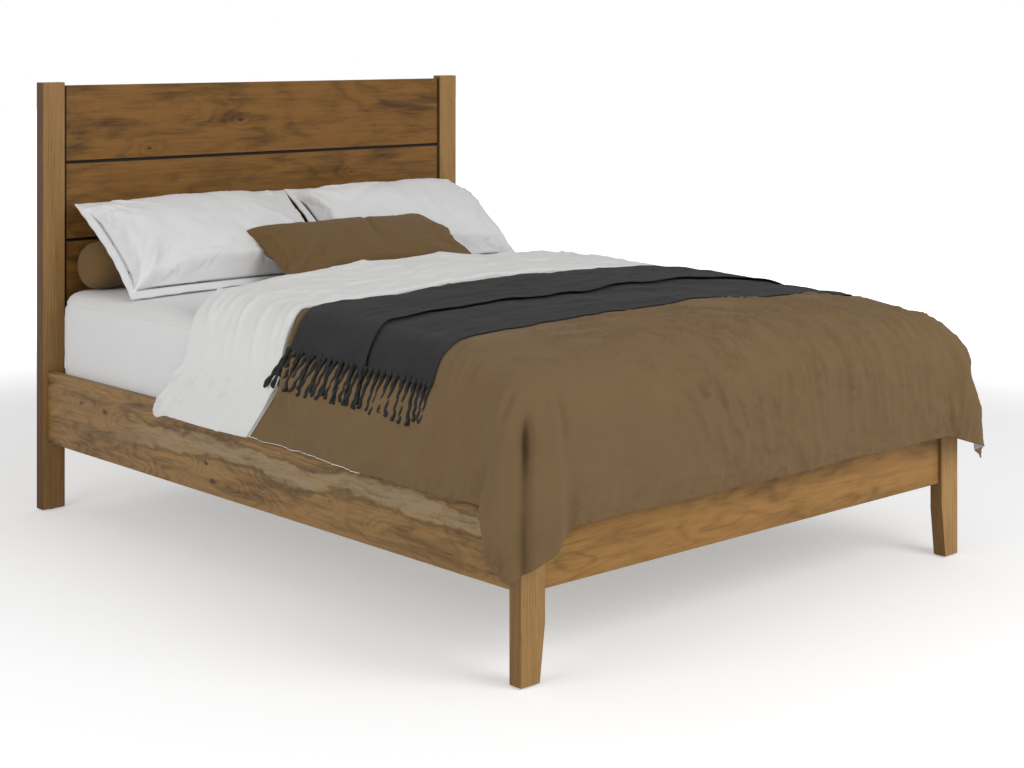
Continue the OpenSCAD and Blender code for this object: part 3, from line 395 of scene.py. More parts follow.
def wood(name, light, dark, grain="x", shift=(0, 0, 0), rings=0.012, share=0.5, wavy=0.05, patches=0.5,
         knots=(), edge=0.35, tint=None, sides=None):
    """A stained and varnished board

    Knots are places along, through and across it, with a size. A tint changes the colour by place, and
    sides paint shade on the faces to the left and the right, as a darker colour by the direction that they
    face.
    """
    material, n, surface = new_material(name)
    turned = n.add("ShaderNodeMapping", named={"Vector": n.place(), "Rotation": GRAIN_TURNS[grain]})
    turned = turned.outputs[0]
    bend, heart = 0.0, 0.0
    for where, size in knots:
        knot = n.group(shared("Knot", make_knot_group), Vector=turned, Place=where, Size=size,
                       Bend_so_far=bend, Heart_so_far=heart)
        bend, heart = knot.outputs["Bend"], knot.outputs["Heart"]
    moved = n.vector("ADD", turned, shift)
    figure = n.group(shared("Wood figure", make_wood_group), Vector=moved, Light=(*light, 1),
                     Dark=(*dark, 1), Ring_width=rings, Ring_share=share, Waviness=wavy, Patches=patches,
                     Bend=bend, Heart=heart)
    colour = figure.outputs["Color"]
    if tint:
        colour = tint(n, turned, colour)
    # Painted shade: faces that point to the left and the right get a darker colour
    if sides:
        face = n.add("ShaderNodeSeparateXYZ", n.add("ShaderNodeNewGeometry").outputs["Normal"])
        painted_side_shade = n.between(n.math("ABSOLUTE", face.outputs[0]), 0.3, 0.9)
        colour = n.blend(painted_side_shade, colour, n.vector("MULTIPLY", colour, sides))
    edge_mask = n.group(shared("Edge mask", make_edge_group), Radius=0.003, Vector=moved).outputs["Mask"]
    # Paler edges, by edge: partly wear, partly a painted highlight along the corners
    pale = n.vector("MULTIPLY", colour, (1.5, 1.45, 1.4))
    n.put(surface.inputs["Base Color"], n.blend(n.math("MULTIPLY", edge_mask, edge), colour, pale))
    n.put(surface.inputs["Roughness"], figure.outputs["Roughness"])
    surface.inputs["Specular IOR Level"].default_value = 0.2
    n.put(surface.inputs["Normal"], n.bump(figure.outputs["Height"], 0.25, 0.0006))
    return material


def cloth(name, colour, pitch=0.0011, slubs=0.12, blotches=0.12, sheen=0.15, uv=False, bump=0.3):
    """A woven fabric, on the piece's own UV map or on its place"""
    material, n, surface = new_material(name)
    place = n.add("ShaderNodeUVMap", uv_map="cloth").outputs[0] if uv else n.place()
    weave = n.group(shared("Weave", make_weave_group), Vector=place, Color=(*colour, 1), Pitch=pitch,
                    Slubs=slubs, Blotches=blotches)
    n.put(surface.inputs["Base Color"], weave.outputs["Color"])
    surface.inputs["Roughness"].default_value = 0.9
    surface.inputs["Specular IOR Level"].default_value = 0.08
    surface.inputs["Sheen Weight"].default_value = sheen
    surface.inputs["Sheen Roughness"].default_value = 0.5
    n.put(surface.inputs["Normal"], n.bump(weave.outputs["Height"], bump, pitch * 0.35))
    return material


def metal(name, colour, rough):
    """Plated metal, with a mottled plating and scuffs along its edges"""
    material, n, surface = new_material(name)
    place = n.place()
    mottle = n.noise(place, scale=160, detail=3)
    edge_mask = n.group(shared("Edge mask", make_edge_group), Radius=0.0008, Vector=place).outputs["Mask"]
    dull = n.blend(n.between(mottle, 0.35, 0.7), (*colour, 1), tuple(c * 0.75 for c in colour) + (1,))
    bright = tuple(min(1, c * 1.3) for c in colour) + (1,)
    n.put(surface.inputs["Base Color"], n.blend(n.math("MULTIPLY", edge_mask, 0.6), dull, bright))
    surface.inputs["Metallic"].default_value = 1.0
    n.put(surface.inputs["Roughness"], n.between(mottle, 0.2, 0.8, rough - 0.08, rough + 0.12))
    n.put(surface.inputs["Normal"], n.bump(n.noise(place, scale=900, detail=2), 0.2, 0.0002))
    return material


def plastic(name, colour):
    """Moulded plastic with a fine grained surface"""
    material, n, surface = new_material(name)
    place = n.place()
    grain = n.noise(place, scale=700, detail=2)
    scuff = n.math("MULTIPLY", n.between(n.noise(place, scale=60, detail=4), 0.5, 0.75), 0.4)
    n.put(surface.inputs["Base Color"], n.blend(scuff, (*colour, 1), (0.16, 0.15, 0.14, 1)))
    n.put(surface.inputs["Roughness"], n.between(grain, 0.3, 0.7, 0.55, 0.75))
    n.put(surface.inputs["Normal"], n.bump(grain, 0.3, 0.0003))
    return material


def crown(x, y):
    """Height of the crown over the mattress top"""
    lo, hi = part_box("mattress")
    inset = np.minimum(hi.x - np.abs(x), (hi.y - lo.y) / 2 - np.abs(y - (hi.y + lo.y) / 2))
    return CROWN * (1 - (1 - np.clip(inset / 0.70, 0, 1)) ** 2.2)


# Properties

def length(default, description):
    return bpy.props.FloatProperty(name=description, description=description, default=default,
                                   unit="LENGTH", precision=4)


def amount(default, name, description, **kind):
    return bpy.props.FloatProperty(name=name, description=description, default=default, **kind)


def colour(default, description):
    return bpy.props.FloatVectorProperty(name=description, description=description, default=default,
                                         size=3, min=0, max=1, subtype="COLOR")


class BedCoverSizes(bpy.types.PropertyGroup):
    """Places and sizes of the duvet and the throw, as the part's source has them"""
    half_width: length(0.840, "Half width of the duvet as it hangs")
    fold_half_width: length(0.814, "Half width of its turned-down part")
    foot_y: length(-1.121, "Foot face of the duvet")
    turn: length(0.150, "Radius where the duvet turns down")
    fold_y: length(0.296, "Fold of the duvet, along the bed")
    hem_y: length(-0.084, "Hem of its turned-down part")
    loft: length(0.058, "Thickness at the mattress edges")
    puff: length(0.048, "Extra thickness along the middle")
    flap: length(0.016, "Thickness of the turned-down part")
    far_slope: length(0.020, "How much lower the far foot corner lies")
    side_hang: length(0.025, "Side hems below the rail tops")
    foot_hang: length(0.065, "Foot hem below the rail tops")
    corner_sag: length(0.105, "Extra drop of the hem at the foot corners")
    corner_out: length(0.050, "How far the hanging corners stand out")
    lining_gap: length(0.014, "Thickness of the hanging duvet")
    side_slide: length(0.115, "Slide of the rows to the foot where they turn down")
    fold_slide: length(0.070, "The same slide at the fold")
    step: length(0.008, "Distance between the points of the duvet")
    throw_y: length(-0.119, "Head edge of the throw")
    throw_width: length(0.610, "Width of the throw as it lies")
    throw_double: length(0.330, "Width of its doubled part")
    throw_end: amount(1.67, "Throw end", "Share of the turn that the throw reaches, plus 1")
    tassel: length(0.098, "Length of a tassel")


class BedColours(bpy.types.PropertyGroup):
    """Main colours of the bed"""
    post: colour((0.345, 0.196, 0.070), "Posts and legs")
    plank: colour((0.25, 0.117, 0.027), "Headboard planks")
    side_rail: colour((0.31, 0.174, 0.060), "Side rails")
    foot_rail: colour((0.37, 0.190, 0.052), "Foot rail")
    inner_wood: colour((0.60, 0.44, 0.27), "Slats and inner wood")
    duvet: colour((0.191, 0.123, 0.061), "Outside of the duvet")
    lining: colour((0.79, 0.79, 0.78), "Lining of the duvet")
    linen: colour((0.79, 0.79, 0.79), "Sheet and pillows")
    throw: colour((0.036, 0.036, 0.036), "Throw")
    cushion: colour((0.168, 0.100, 0.040), "Cushion and bolster")


class BedStage(bpy.types.PropertyGroup):
    """Camera and light"""
    lens: amount(67.0, "Lens", "Focal length", subtype="DISTANCE_CAMERA")
    camera_place: bpy.props.FloatVectorProperty(
        name="Camera place", description="Where the level camera stands",
        default=(-3.6044, -4.1184, 1.4163), subtype="TRANSLATION")
    camera_turn: amount(math.radians(42.27), "Camera turn", "Turn from the head to the right side",
                        subtype="ANGLE")
    camera_shift: amount(-0.3386, "Camera shift", "Shift that keeps the posts upright")
    key: amount(105, "Key", "Power of the large light at the foot", min=0)
    fill: amount(60, "Fill", "Power of the light on the left", min=0)
    sky: amount(0.46, "Sky", "Strength of the surrounding light", min=0)
    glow: amount(0.355, "Floor glow", "Light that the camera sees in the floor", min=0)


# Duvet and throw. A place on the cover is a column c across the bed and a distance w along it.
# From c = 1 the cover turns down and from 2 it hangs to its hem at 3. Past w = flat_l it turns
# down over the foot in one unit of w and hangs in the next.

# How far round the foot corner, in radians from the side face, and the share of the sag there
SAG = ((0, 0.15, 0.3, 0.45, 0.55, 0.64, 0.8, 1.04, 1.26, 1.5), (0, 0.3, 0.8, 1, 0.8, 0.5, 0.62, 0.5, 0.2, 0))
# How much of that the far corner has, and how far the far side bulges out and where along the bed
FAR_SAG, FAR_BULGE, FAR_BULGE_Y = 0.6, 0.036, -0.80
# Sway of the hems: how far in and out, and from one wave to the next
HEM_SWAY, HEM_WAVE = 0.006, 0.41
# The cover's parts as they are spread flat: its hanging sides and its hanging foot
SIDE_L, FOOT_L = 0.24, 0.27
# Folds and creases of the duvet: their height, their size and the seed of their noise
SWELLS = (0.006, 0.34, 11), (0.0032, 0.12, 12)
WHITE_LINES, WHITE_LONG = (0.0050, 0.034, 21), (0.0045, 0.030, 27)
BROWN_ARCS, BROWN_LONG = (0.0115, 0.029, 33), (0.0105, 0.030, 35)
RIGHT_PLEATS = (0.010, 0.040, 43)
FOOT_PUCKERS, SIDE_PUCKERS = (0.0075, 0.03, 51), (0.005, 0.03, 53)
SIDE_FOLDS = (0.010, 0.085, 55)


def crease(kind, points):
    """One kind of crease, at the given places on the cloth"""
    height, size, seed = kind
    return height * creases(points, size, seed)


class Cover:
    """The smooth cover that the duvet and the throw follow, and the folds on it"""

    def __init__(self, sizes):
        self.s = sizes
        self.flat_y = sizes.foot_y + sizes.turn
        self.flat_l = sizes.fold_y - self.flat_y

    def half_width(self, y):
        return mix(self.s.half_width, self.s.fold_half_width, ramp(self.s.hem_y - 0.6, self.s.hem_y, y))

    def slide(self, y):
        """How far the cloth that turns down slides to the foot"""
        return (self.s.side_slide * ramp(self.flat_y, self.flat_y + 0.42, y)
                - (self.s.side_slide - self.s.fold_slide) * ramp(self.s.hem_y, self.s.fold_y, y))

    def top(self, x, y):
        """Height of the cover's top"""
        s = self.s
        across = np.minimum(1, np.abs(x) / s.half_width)
        return (MATTRESS_TOP + s.loft + s.puff * (0.35 - across ** 3)
                + s.puff * 0.35 * ramp(s.hem_y, s.fold_y, y) * (1 - across)
                - s.puff * 0.4 * ramp(self.flat_y + 0.26, s.foot_y, y)
                - s.far_slope * ramp(0.1, 0.75, x / s.half_width) * ramp(-0.1, -0.9, y))

    def spread(self, c, w):
        """Where a place is on the flat cloth, in metres from its middle and from the fold"""
        c, w = np.broadcast_arrays(np.asarray(c, float), np.asarray(w, float))
        y = self.s.fold_y - np.minimum(w, self.flat_l)
        flat_x = self.half_width(y) - self.s.turn
        arc = self.s.turn * math.pi / 2
        a = np.abs(c)
        u = np.minimum(1, a) * flat_x + np.clip(a - 1, 0, 1) * arc + np.maximum(0, a - 2) * SIDE_L
        b = np.maximum(0, w - self.flat_l)
        v = np.minimum(w, self.flat_l) + np.minimum(1, b) * arc + np.maximum(0, b - 1) * FOOT_L
        return np.sign(c) * u, v

    def point(self, c, w):
        """A point of the smooth cover, without folds or wrinkles"""
        s = self.s
        c, w = np.broadcast_arrays(np.asarray(c, float), np.asarray(w, float))
        y = s.fold_y - np.minimum(w, self.flat_l)
        b = np.maximum(0, w - self.flat_l)
        r, half = s.turn, self.half_width(y)
        side, a = np.sign(c), np.abs(c)
        flat_x = np.minimum(1, a) * (half - r)
        top = self.top(flat_x * side, y)

        def past(share, hang):
            gone = np.minimum(share, 1) * r * math.pi / 2 + np.maximum(0, share - 1) * hang
            return np.where(share <= 0, 0, gone)

        du = past(a - 1, top - r - (RAIL_TOP - s.side_hang))
        dv = past(b, top - r - (RAIL_TOP - s.foot_hang))
        both = (du > 0) & (dv > 0)
        d = np.where(both, (du ** 4 + dv ** 4) ** 0.25, du + dv)
        turn = np.arctan2(0.68 * dv, du)
        hang = np.maximum(0, d - r * math.pi / 2)
        corner = np.where(both, np.sin(2 * turn), 0)
        bent = np.minimum(d / r, math.pi / 2)
        # How far round the foot corner a place is, in radians from the side face
        round_corner = np.where(both, turn, np.where(dv > 0, math.pi / 2 + (half - r - flat_x) / 0.25,
                                                     (self.flat_y - y) / 0.25))
        at_edge = (du > 0) | (dv > 0)
        flare = corner * ramp(1.5, 0.85, round_corner)
        out = r * np.sin(bent) + flare * (0.010 * np.sin(bent) ** 2 + s.corner_out * ramp(0, 0.14, hang))
        lobe = bump_at(round_corner, 0.45, 0.42) * at_edge
        hung = np.minimum(1, hang / 0.2)
        sag = np.interp(round_corner, *SAG) * at_edge * np.where(side > 0, FAR_SAG, 1)
        down = r * (1 - np.cos(bent)) + hang + s.corner_sag * sag * hung
        along = np.where((dv > 0) & (du == 0), flat_x * side, y)
        out = out + HEM_SWAY * hung * np.sin(math.tau * along / HEM_WAVE) + 0.008 * lobe * np.sin(bent)
        far_bulge = np.where(side > 0, FAR_BULGE * bump_at(y, FAR_BULGE_Y, 0.5), 0) * np.sin(bent)
        out = out + far_bulge * np.cos(turn) * at_edge
        slant = ramp(s.throw_y, s.hem_y, y) * hang
        x = side * (flat_x + np.where(du > 0, out * np.cos(turn), 0))
        y = y - np.where(dv > 0, out * np.sin(turn), self.slide(y) * np.sin(bent) - slant)
        return np.stack([x, y, top - down], -1)

    def surface(self, c, w):
        """Points of the smooth cover and the directions out of it"""
        e = 1e-3
        across = self.point(c + e, w) - self.point(c - e, w)
        along = self.point(c, w + e) - self.point(c, w - e)
        normal = np.cross(along, across)
        return self.point(c, w), normal / np.maximum(np.linalg.norm(normal, axis=-1, keepdims=True), 1e-9)

    def relief(self, c, w):
        """Height of folds and wrinkles over the smooth cover"""
        u, v = self.spread(c, w)
        p = np.stack([u, v], -1)
        hem_v = self.s.fold_y - self.s.hem_y
        down_side = np.clip(np.abs(c) - 1, 0, 2) / 2
        down_foot = np.clip(w - self.flat_l, 0, 2) / 2
        height = sum(high * layered(p, size, seed) for high, size, seed in SWELLS)
        white = ramp(hem_v + 0.02, hem_v - 0.02, v)
        lines = np.stack([u * 0.13 + 0.012 * noise(p, 0.3, 15), v + 0.02 * noise(p, 0.25, 16)], -1)
        height += white * (crease(WHITE_LINES, lines) + crease(WHITE_LONG, lines * 0.5))
        corner = np.stack([u + 0.62, v - (self.flat_l + 0.42)], -1)
        radius = np.linalg.norm(corner, axis=-1)
        angle = np.arctan2(corner[..., 0], -corner[..., 1])
        arcs = np.stack([radius + 0.01 * noise(p, 0.2, 31), angle * 0.10 + 2], -1)
        head = self.s.fold_y - self.s.throw_y
        foot = head + self.s.throw_width
        covered = ramp(head - 0.05, head, v) * ramp(foot + 0.05, foot, v)
        brown = (1 - white) * ramp(0.22, 0.45, radius) * bump_at(angle, 0.85, 1.9)
        brown = brown * (1 - 0.9 * covered)
        height += brown * crease(BROWN_ARCS, arcs) * ramp(1.7, 1.2, radius)
        height += brown * crease(BROWN_LONG, arcs * 0.55)
        pleats = np.stack([u + 0.015 * noise(p, 0.2, 41), v * 0.12], -1)
        right = bump_at(u, 0.78, 0.2) * ramp(0.9, 1.15, v)
        height += right * crease(RIGHT_PLEATS, pleats)
        gap = bump_at(v, hem_v + 0.02, 0.06) * ramp(1.0, 1.6, np.abs(c))
        height += gap * 0.008 * np.sin((v - hem_v) * 170)
        puckers = np.stack([u + v * 0.6, v * 0.2], -1)
        height += ramp(0.66, 0.98, down_foot) * ramp(1.3, 0.95, np.abs(c)) * crease(FOOT_PUCKERS, puckers)
        side_puckers = np.stack([v + np.abs(u) * 0.5, u * 0.2], -1)
        height += ramp(0.75, 1.0, down_side) * (1 - white) * crease(SIDE_PUCKERS, side_puckers)
        side_folds = np.stack([v + np.abs(u) * 0.7, u * 0.3], -1)
        high, size, seed = SIDE_FOLDS
        soft = high * (1 + noise(side_folds, size, seed)) * ramp(0.15, 0.6, down_side)
        height += soft * (1 - white) * ramp(self.flat_l, self.flat_l - 0.2, v)
        hanging = np.maximum(ramp(0, 0.4, down_side), ramp(0, 0.4, down_foot))
        return mix(height, np.maximum(height, 0.3 * height - 0.0005), hanging)


def steps(a, b, spacing):
    """Numbers from a to b, about a spacing apart"""
    return np.linspace(a, b, max(2, int(round(abs(b - a) / spacing)) + 1))


# About how long one unit of c or w is: half the flat top, the turn, and the hanging sides and foot
FLAT_UNIT, TURN_UNIT, SIDE_UNIT, FOOT_UNIT = 0.69, 0.236, 0.21, 0.29


def cover_columns(spacing, outer=3.0):
    """Places across the cover, from -outer to outer, about a spacing in metres apart"""
    right = steps(1, min(2, outer), spacing / TURN_UNIT)[1:]
    if outer > 2:
        right = np.concatenate([right, steps(2, outer, spacing / SIDE_UNIT)[1:]])
    return np.concatenate([-right[::-1], steps(-1, 1, spacing / FLAT_UNIT), right])


# Profile of the turned-down hem: distance past the hem and height over the cover, in millimetres
HEM_PROFILE = [(-26, 16), (-14, 17), (-6, 16), (0, 13), (3.5, 9), (3.5, 5), (-1, 2.6), (-10, 1.8)]
UNDER_HEM = [(-10, 0.3), (0, -0.6), (9, -0.3), (18, 0)]


def cover_rows(cover, spacing):
    """Distances along the cover, heights that the turned-down part adds, and how many rows are white"""
    hem = cover.s.fold_y - cover.s.hem_y
    scale = cover.s.flap / 0.016 / 1000
    white = [(w, cover.s.flap) for w in steps(0, hem - 0.036, spacing)]
    white += [(hem + a / 1000, h * scale) for a, h in HEM_PROFILE]
    brown = [(hem + a / 1000, h * scale) for a, h in UNDER_HEM]
    brown += [(w, 0) for w in steps(hem + 0.028, cover.flat_l, spacing)]
    brown += [(cover.flat_l + b, 0) for b in steps(0, 1, spacing / TURN_UNIT)[1:]]
    brown += [(cover.flat_l + b, 0) for b in steps(1, 2, spacing / FOOT_UNIT)[1:]]
    rows = np.array(white + brown)
    return rows[:, 0], rows[:, 1], len(white)


def smoothed(points, times):
    """A grid of points with small kinks rubbed out"""
    points = points.copy()
    for _ in range(times):
        points[1:-1] = points[1:-1] / 2 + (points[:-2] + points[2:]) / 4
        points[:, 1:-1] = points[:, 1:-1] / 2 + (points[:, :-2] + points[:, 2:]) / 4
    return points


def corner_fold(cover, base):
    """Height of the crease down each foot corner and of the bulges beside it"""
    beside = np.abs(base[..., 0]) - (cover.s.half_width - cover.s.turn)
    ahead = cover.flat_y - base[..., 1]
    turn, far = np.arctan2(ahead, beside), np.hypot(beside, ahead)
    low = MATTRESS_TOP - base[..., 2]
    groove = -0.030 * bump_at(turn, 0.77, 0.11) * ramp(0.02, 0.12, low) * mix(1, 0.6, ramp(0.12, 0.2, low))
    fan = sum(-0.010 * bump_at(turn + 0.9 * (low - 0.06), middle, 0.12) * bump_at(low, 0.04, 0.14)
              for middle in (0.45, 1.12, 1.38))
    bulges = 0.016 * (bump_at(turn, 0.42, 0.3) + bump_at(turn, 1.12, 0.28)) * ramp(0.0, 0.12, low)
    pocket = -0.012 * bump_at(turn + 2.2 * (low - 0.20), 0.12, 0.22) * bump_at(low, 0.2, 0.1)
    return (groove + fan + bulges + pocket) * ramp(0.09, 0.14, far)


def duvet_layers(cover, c, w, lift):
    """The outside with its folds, and the lining, which lies on the sheet and hangs inside the cover"""
    base, facing = cover.surface(c, w)
    base, facing = smoothed(base, 8), smoothed(facing, 10)
    facing /= np.linalg.norm(facing, axis=-1, keepdims=True)
    thinner = 1 - 0.4 * np.minimum(1, np.abs(c) / 1.5)
    height = cover.relief(c, w) + corner_fold(cover, base) + lift * thinner
    outer = base + facing * height[..., None]
    beyond = np.maximum(np.abs(c) - 1, w - cover.flat_l)
    at_fold = ramp(cover.s.hem_y - 0.3, cover.s.hem_y, base[..., 1])
    hanging = mix(cover.s.lining_gap - 0.005 * at_fold, 0.005, ramp(1.7, 2, beyond))
    on_sheet = outer[..., 2] - SHEET_TOP - 0.003 - crown(outer[..., 0], outer[..., 1])
    thick = mix(np.maximum(on_sheet, hanging), hanging, ramp(0, 0.9, beyond))
    return outer, outer - facing * thick[..., None]


DUVET_RIM, THROW_RIM = 8, 3
THROW_THICK = 0.0026


class BED_OT_duvet(bpy.types.Operator):
    """Make the duvet with its turned-down head end"""
    bl_idname = "bed.duvet"
    bl_label = "Duvet"

    # How far past the hem of the turned-down part each ring of the rim is brown, from the outside in
    BROWN_RINGS = 0, 0.35, 0.35, 0.35

    def execute(self, context):
        cover = Cover(context.scene.bed_cover)
        rows, lift, white_rows = cover_rows(cover, cover.s.step)
        c, w = np.meshgrid(cover_columns(cover.s.step), rows)
        upper, lower = duvet_layers(cover, c, w, lift[:, None])
        loop = grid_rim(*c.shape)
        at_fold = ramp(0.05, 0.0, w.ravel()[loop])
        bulge = mix(0.004, 0.022, at_fold)
        points, faces = closed_shell(upper, lower, DUVET_RIM, bulge)
        piece = new_object("duvet_cover", points, faces, "duvet_body")
        flat = np.stack(cover.spread(c, w), -1).reshape(-1, 2)
        add_uv(piece, np.concatenate([flat, flat, np.tile(flat[loop], (DUVET_RIM - 1, 1))]))
        colours = context.scene.bed_colours
        piece.data.materials.append(cloth("Duvet cotton", colours.duvet, uv=True, blotches=0.14, sheen=0.05))
        piece.data.materials.append(cloth("Duvet lining cotton", colours.lining, uv=True, slubs=0.05,
                                          blotches=0.03))
        brown, white = 0, 1
        columns = c.shape[1]
        quads = (c.shape[0] - 1) * (columns - 1)
        slot = np.full(len(faces), white)
        slot[(white_rows - 1) * (columns - 1):quads] = brown
        ring = len(loop)
        past_hem = w.ravel()[loop] - (cover.s.fold_y - cover.s.hem_y)
        for k, least in enumerate(self.BROWN_RINGS):
            start = 2 * quads + k * ring
            slot[start:start + ring] = np.where(past_hem > least, brown, white)
        piece.data.polygons.foreach_set("material_index", slot)
        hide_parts("duvet")
        return {"FINISHED"}


class BED_OT_throw(bpy.types.Operator):
    """Make the throw, doubled towards the head, and its twisted fringe"""
    bl_idname = "bed.throw"
    bl_label = "Throw"

    # Distance between its points, height of its doubled part over the lower one, and its rise at that
    # part's free edge
    STEP, DOUBLED, EDGE_RISE = 0.008, 0.0048, 0.004

    def execute(self, context):
        cover = Cover(context.scene.bed_cover)
        s = cover.s
        head = s.fold_y - s.throw_y
        under = steps(head + s.throw_width, head, self.STEP)
        over = steps(head, head + s.throw_double, self.STEP)
        nose = np.linspace(0, math.pi, 7)[1:-1]
        w = np.concatenate([under, head - 0.0035 * np.sin(nose), over])
        edge = head + s.throw_double
        rise = self.DOUBLED + self.EDGE_RISE * ramp(edge - 0.03, edge, over)
        lift = np.concatenate([np.full(len(under), 0.0), rise[0] / 2 * (1 - np.cos(nose)), rise])
        c, w = np.meshgrid(cover_columns(0.009, outer=s.throw_end), w)
        u, v = cover.spread(c, w)
        top_layer = np.arange(len(lift)) >= len(under)
        p = np.stack([u, v], -1)
        long_folds = np.stack([v + 0.02 * noise(p, 0.35, 61), u * 0.16], -1)
        wrinkle = 0.0035 * creases(long_folds, 0.07, 63) + 0.002 * (1 + noise(p, 0.16, 65))
        ease = ramp(0, 0.05, head + s.throw_width - w)
        height = cover.relief(c, w) + 0.0030 + wrinkle * ease + lift[:, None]
        base, normal = cover.surface(c, w)
        middle = base + normal * height[..., None]
        facing = grid_normals(middle)
        facing[:len(under)] *= -1
        across = normal * np.where(top_layer, 1, -1)[:, None, None]
        facing = np.where((facing * across).sum(-1, keepdims=True) < 0, -facing, facing)
        upper, lower = middle + facing * THROW_THICK / 2, middle - facing * THROW_THICK / 2
        points, faces = closed_shell(upper, lower, THROW_RIM, THROW_THICK / 2)
        piece = new_object("throw_cloth", points, faces[:, ::-1], "throw_body")
        flat = np.stack([u, w + top_layer[:, None] * 1.0], -1).reshape(-1, 2)
        rim = np.tile(flat[grid_rim(*c.shape)], (THROW_RIM - 1, 1))
        add_uv(piece, np.concatenate([flat, flat, rim]))
        wool = cloth("Throw wool", context.scene.bed_colours.throw, pitch=0.0024, slubs=0.5, blotches=0.25,
                     sheen=0.03, uv=True, bump=0.6)
        piece.data.materials.append(wool)
        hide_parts("throw")
        fringe = make_fringe(middle, len(under), s.tassel, wool)
        return {"FINISHED"}


def make_tassel_tree(wool):
    """Tassels on points: two twisted strands under a knot, with a frayed end"""
    tree, n, given, out = new_group("Twisted tassels", [
        ("Geometry", "Geometry", None), ("Length", "Float", 0.08), ("Strand", "Float", 0.003),
        ("Turns", "Float", 3.0), ("Seed", "Int", 7)], [("Geometry", "Geometry")], "GeometryNodeTree")
    strand = given.outputs["Strand"]
    parts = []
    for side in (0.0, math.pi):
        line = n.add("GeometryNodeCurvePrimitiveLine", (0, 0, 0), (0, 0, 1))
        line = n.add("GeometryNodeResampleCurve", line, None, 15)
        share = n.add("GeometryNodeSplineParameter").outputs["Factor"]
        angle = n.math("MULTIPLY_ADD", n.math("MULTIPLY", share, given.outputs["Turns"]), math.tau, side)
        loose = n.math("MULTIPLY_ADD", n.math("POWER", share, 6.0), 0.6, 0.55)
        away = n.math("MULTIPLY", strand, loose)
        place = n.add("ShaderNodeCombineXYZ", n.math("MULTIPLY", n.math("COSINE", angle), away),
                      n.math("MULTIPLY", n.math("SINE", angle), away),
                      n.math("MULTIPLY", share, given.outputs["Length"]))
        line = n.add("GeometryNodeSetPosition", line, None, place)
        taper = n.math("SUBTRACT", 1.0, n.math("MULTIPLY", n.math("POWER", share, 10.0), 0.75))
        line = n.add("GeometryNodeSetCurveRadius", line, None, taper)
        ring = n.add("GeometryNodeCurvePrimitiveCircle", named={"Resolution": 5, "Radius": strand})
        parts.append(n.add("GeometryNodeCurveToMesh", line, ring, named={"Fill Caps": True}))
    knot = n.add("GeometryNodeMeshIcoSphere", n.math("MULTIPLY", strand, 1.75), 2)
    parts.append(n.add("GeometryNodeTransform", knot, named={"Translation": (0, 0, 0.004)}))
    joined = n.add("GeometryNodeJoinGeometry")
    for part in parts:
        tree.links.new(part.outputs[0], joined.inputs[0])
    hang = n.add("GeometryNodeInputNamedAttribute", "hang", data_type="FLOAT_VECTOR")
    turned = n.add("FunctionNodeAlignRotationToVector", named={"Vector": hang}, axis="Z")
    seed = given.outputs["Seed"]
    spin = n.add("FunctionNodeRandomValue", named={"Min": 0.0, "Max": math.tau, "Seed": seed},
                 data_type="FLOAT")
    spun = n.add("FunctionNodeAxisAngleToRotation", (0, 0, 1), spin)
    turned = n.add("FunctionNodeRotateRotation", turned, spun, rotation_space="LOCAL")
    size = n.add("FunctionNodeRandomValue", named={"Min": (0.9, 0.9, 0.92), "Max": (1.1, 1.1, 1.08),
                                                   "Seed": seed}, data_type="FLOAT_VECTOR")
    longer = n.add("ShaderNodeCombineXYZ", 1.0, 1.0, n.vector("LENGTH", hang).outputs[1])
    size = n.vector("MULTIPLY", size, longer)
    placed = n.add("GeometryNodeInstanceOnPoints", named={
        "Points": given.outputs["Geometry"], "Instance": joined, "Rotation": turned, "Scale": size})
    real = n.add("GeometryNodeRealizeInstances", placed)
    smooth = n.add("GeometryNodeSetShadeSmooth", real)
    n.put(out.inputs[0], n.add("GeometryNodeSetMaterial", smooth, None, wool))
    return tree


def applied(piece):
    """The piece's mesh as its modifiers make it. They are then removed."""
    ready = piece.evaluated_get(bpy.context.evaluated_depsgraph_get())
    mesh = bpy.data.meshes.new_from_object(ready)
    piece.modifiers.clear()
    return mesh


def grown(name, points, attributes, tree, values, body):
    """A plain mesh from a tree of geometry nodes on loose points"""
    mesh = bpy.data.meshes.new(name)
    mesh.from_pydata(np.asarray(points).tolist(), [], [])
    for key, vectors in attributes.items():
        attribute = mesh.attributes.new(key, "FLOAT_VECTOR", "POINT")
        attribute.data.foreach_set("vector", np.asarray(vectors).ravel())
    source = bpy.data.objects.new(name + "_points", mesh)
    bpy.context.scene.collection.objects.link(source)
    modifier = source.modifiers.new("grow", "NODES")
    modifier.node_group = tree
    for item in tree.interface.items_tree:
        if item.in_out == "INPUT" and item.name in values:
            modifier[item.identifier] = values[item.name]
    result = applied(source)
    bpy.data.objects.remove(source)
    result.name = name
    piece = bpy.data.objects.new(name, result)
    bpy.context.scene.collection.objects.link(piece)
    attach(piece, body)
    return piece


# How many tassels each end of the throw has on its lower layer and on its doubled part, where the
# doubled part's first one is past the fold, and the sizes of all
TASSELS_UNDER, TASSELS_OVER, FOLD_ROWS = 25, 8, 5
STRAND, STRAND_TURNS = 0.0040, 1.8


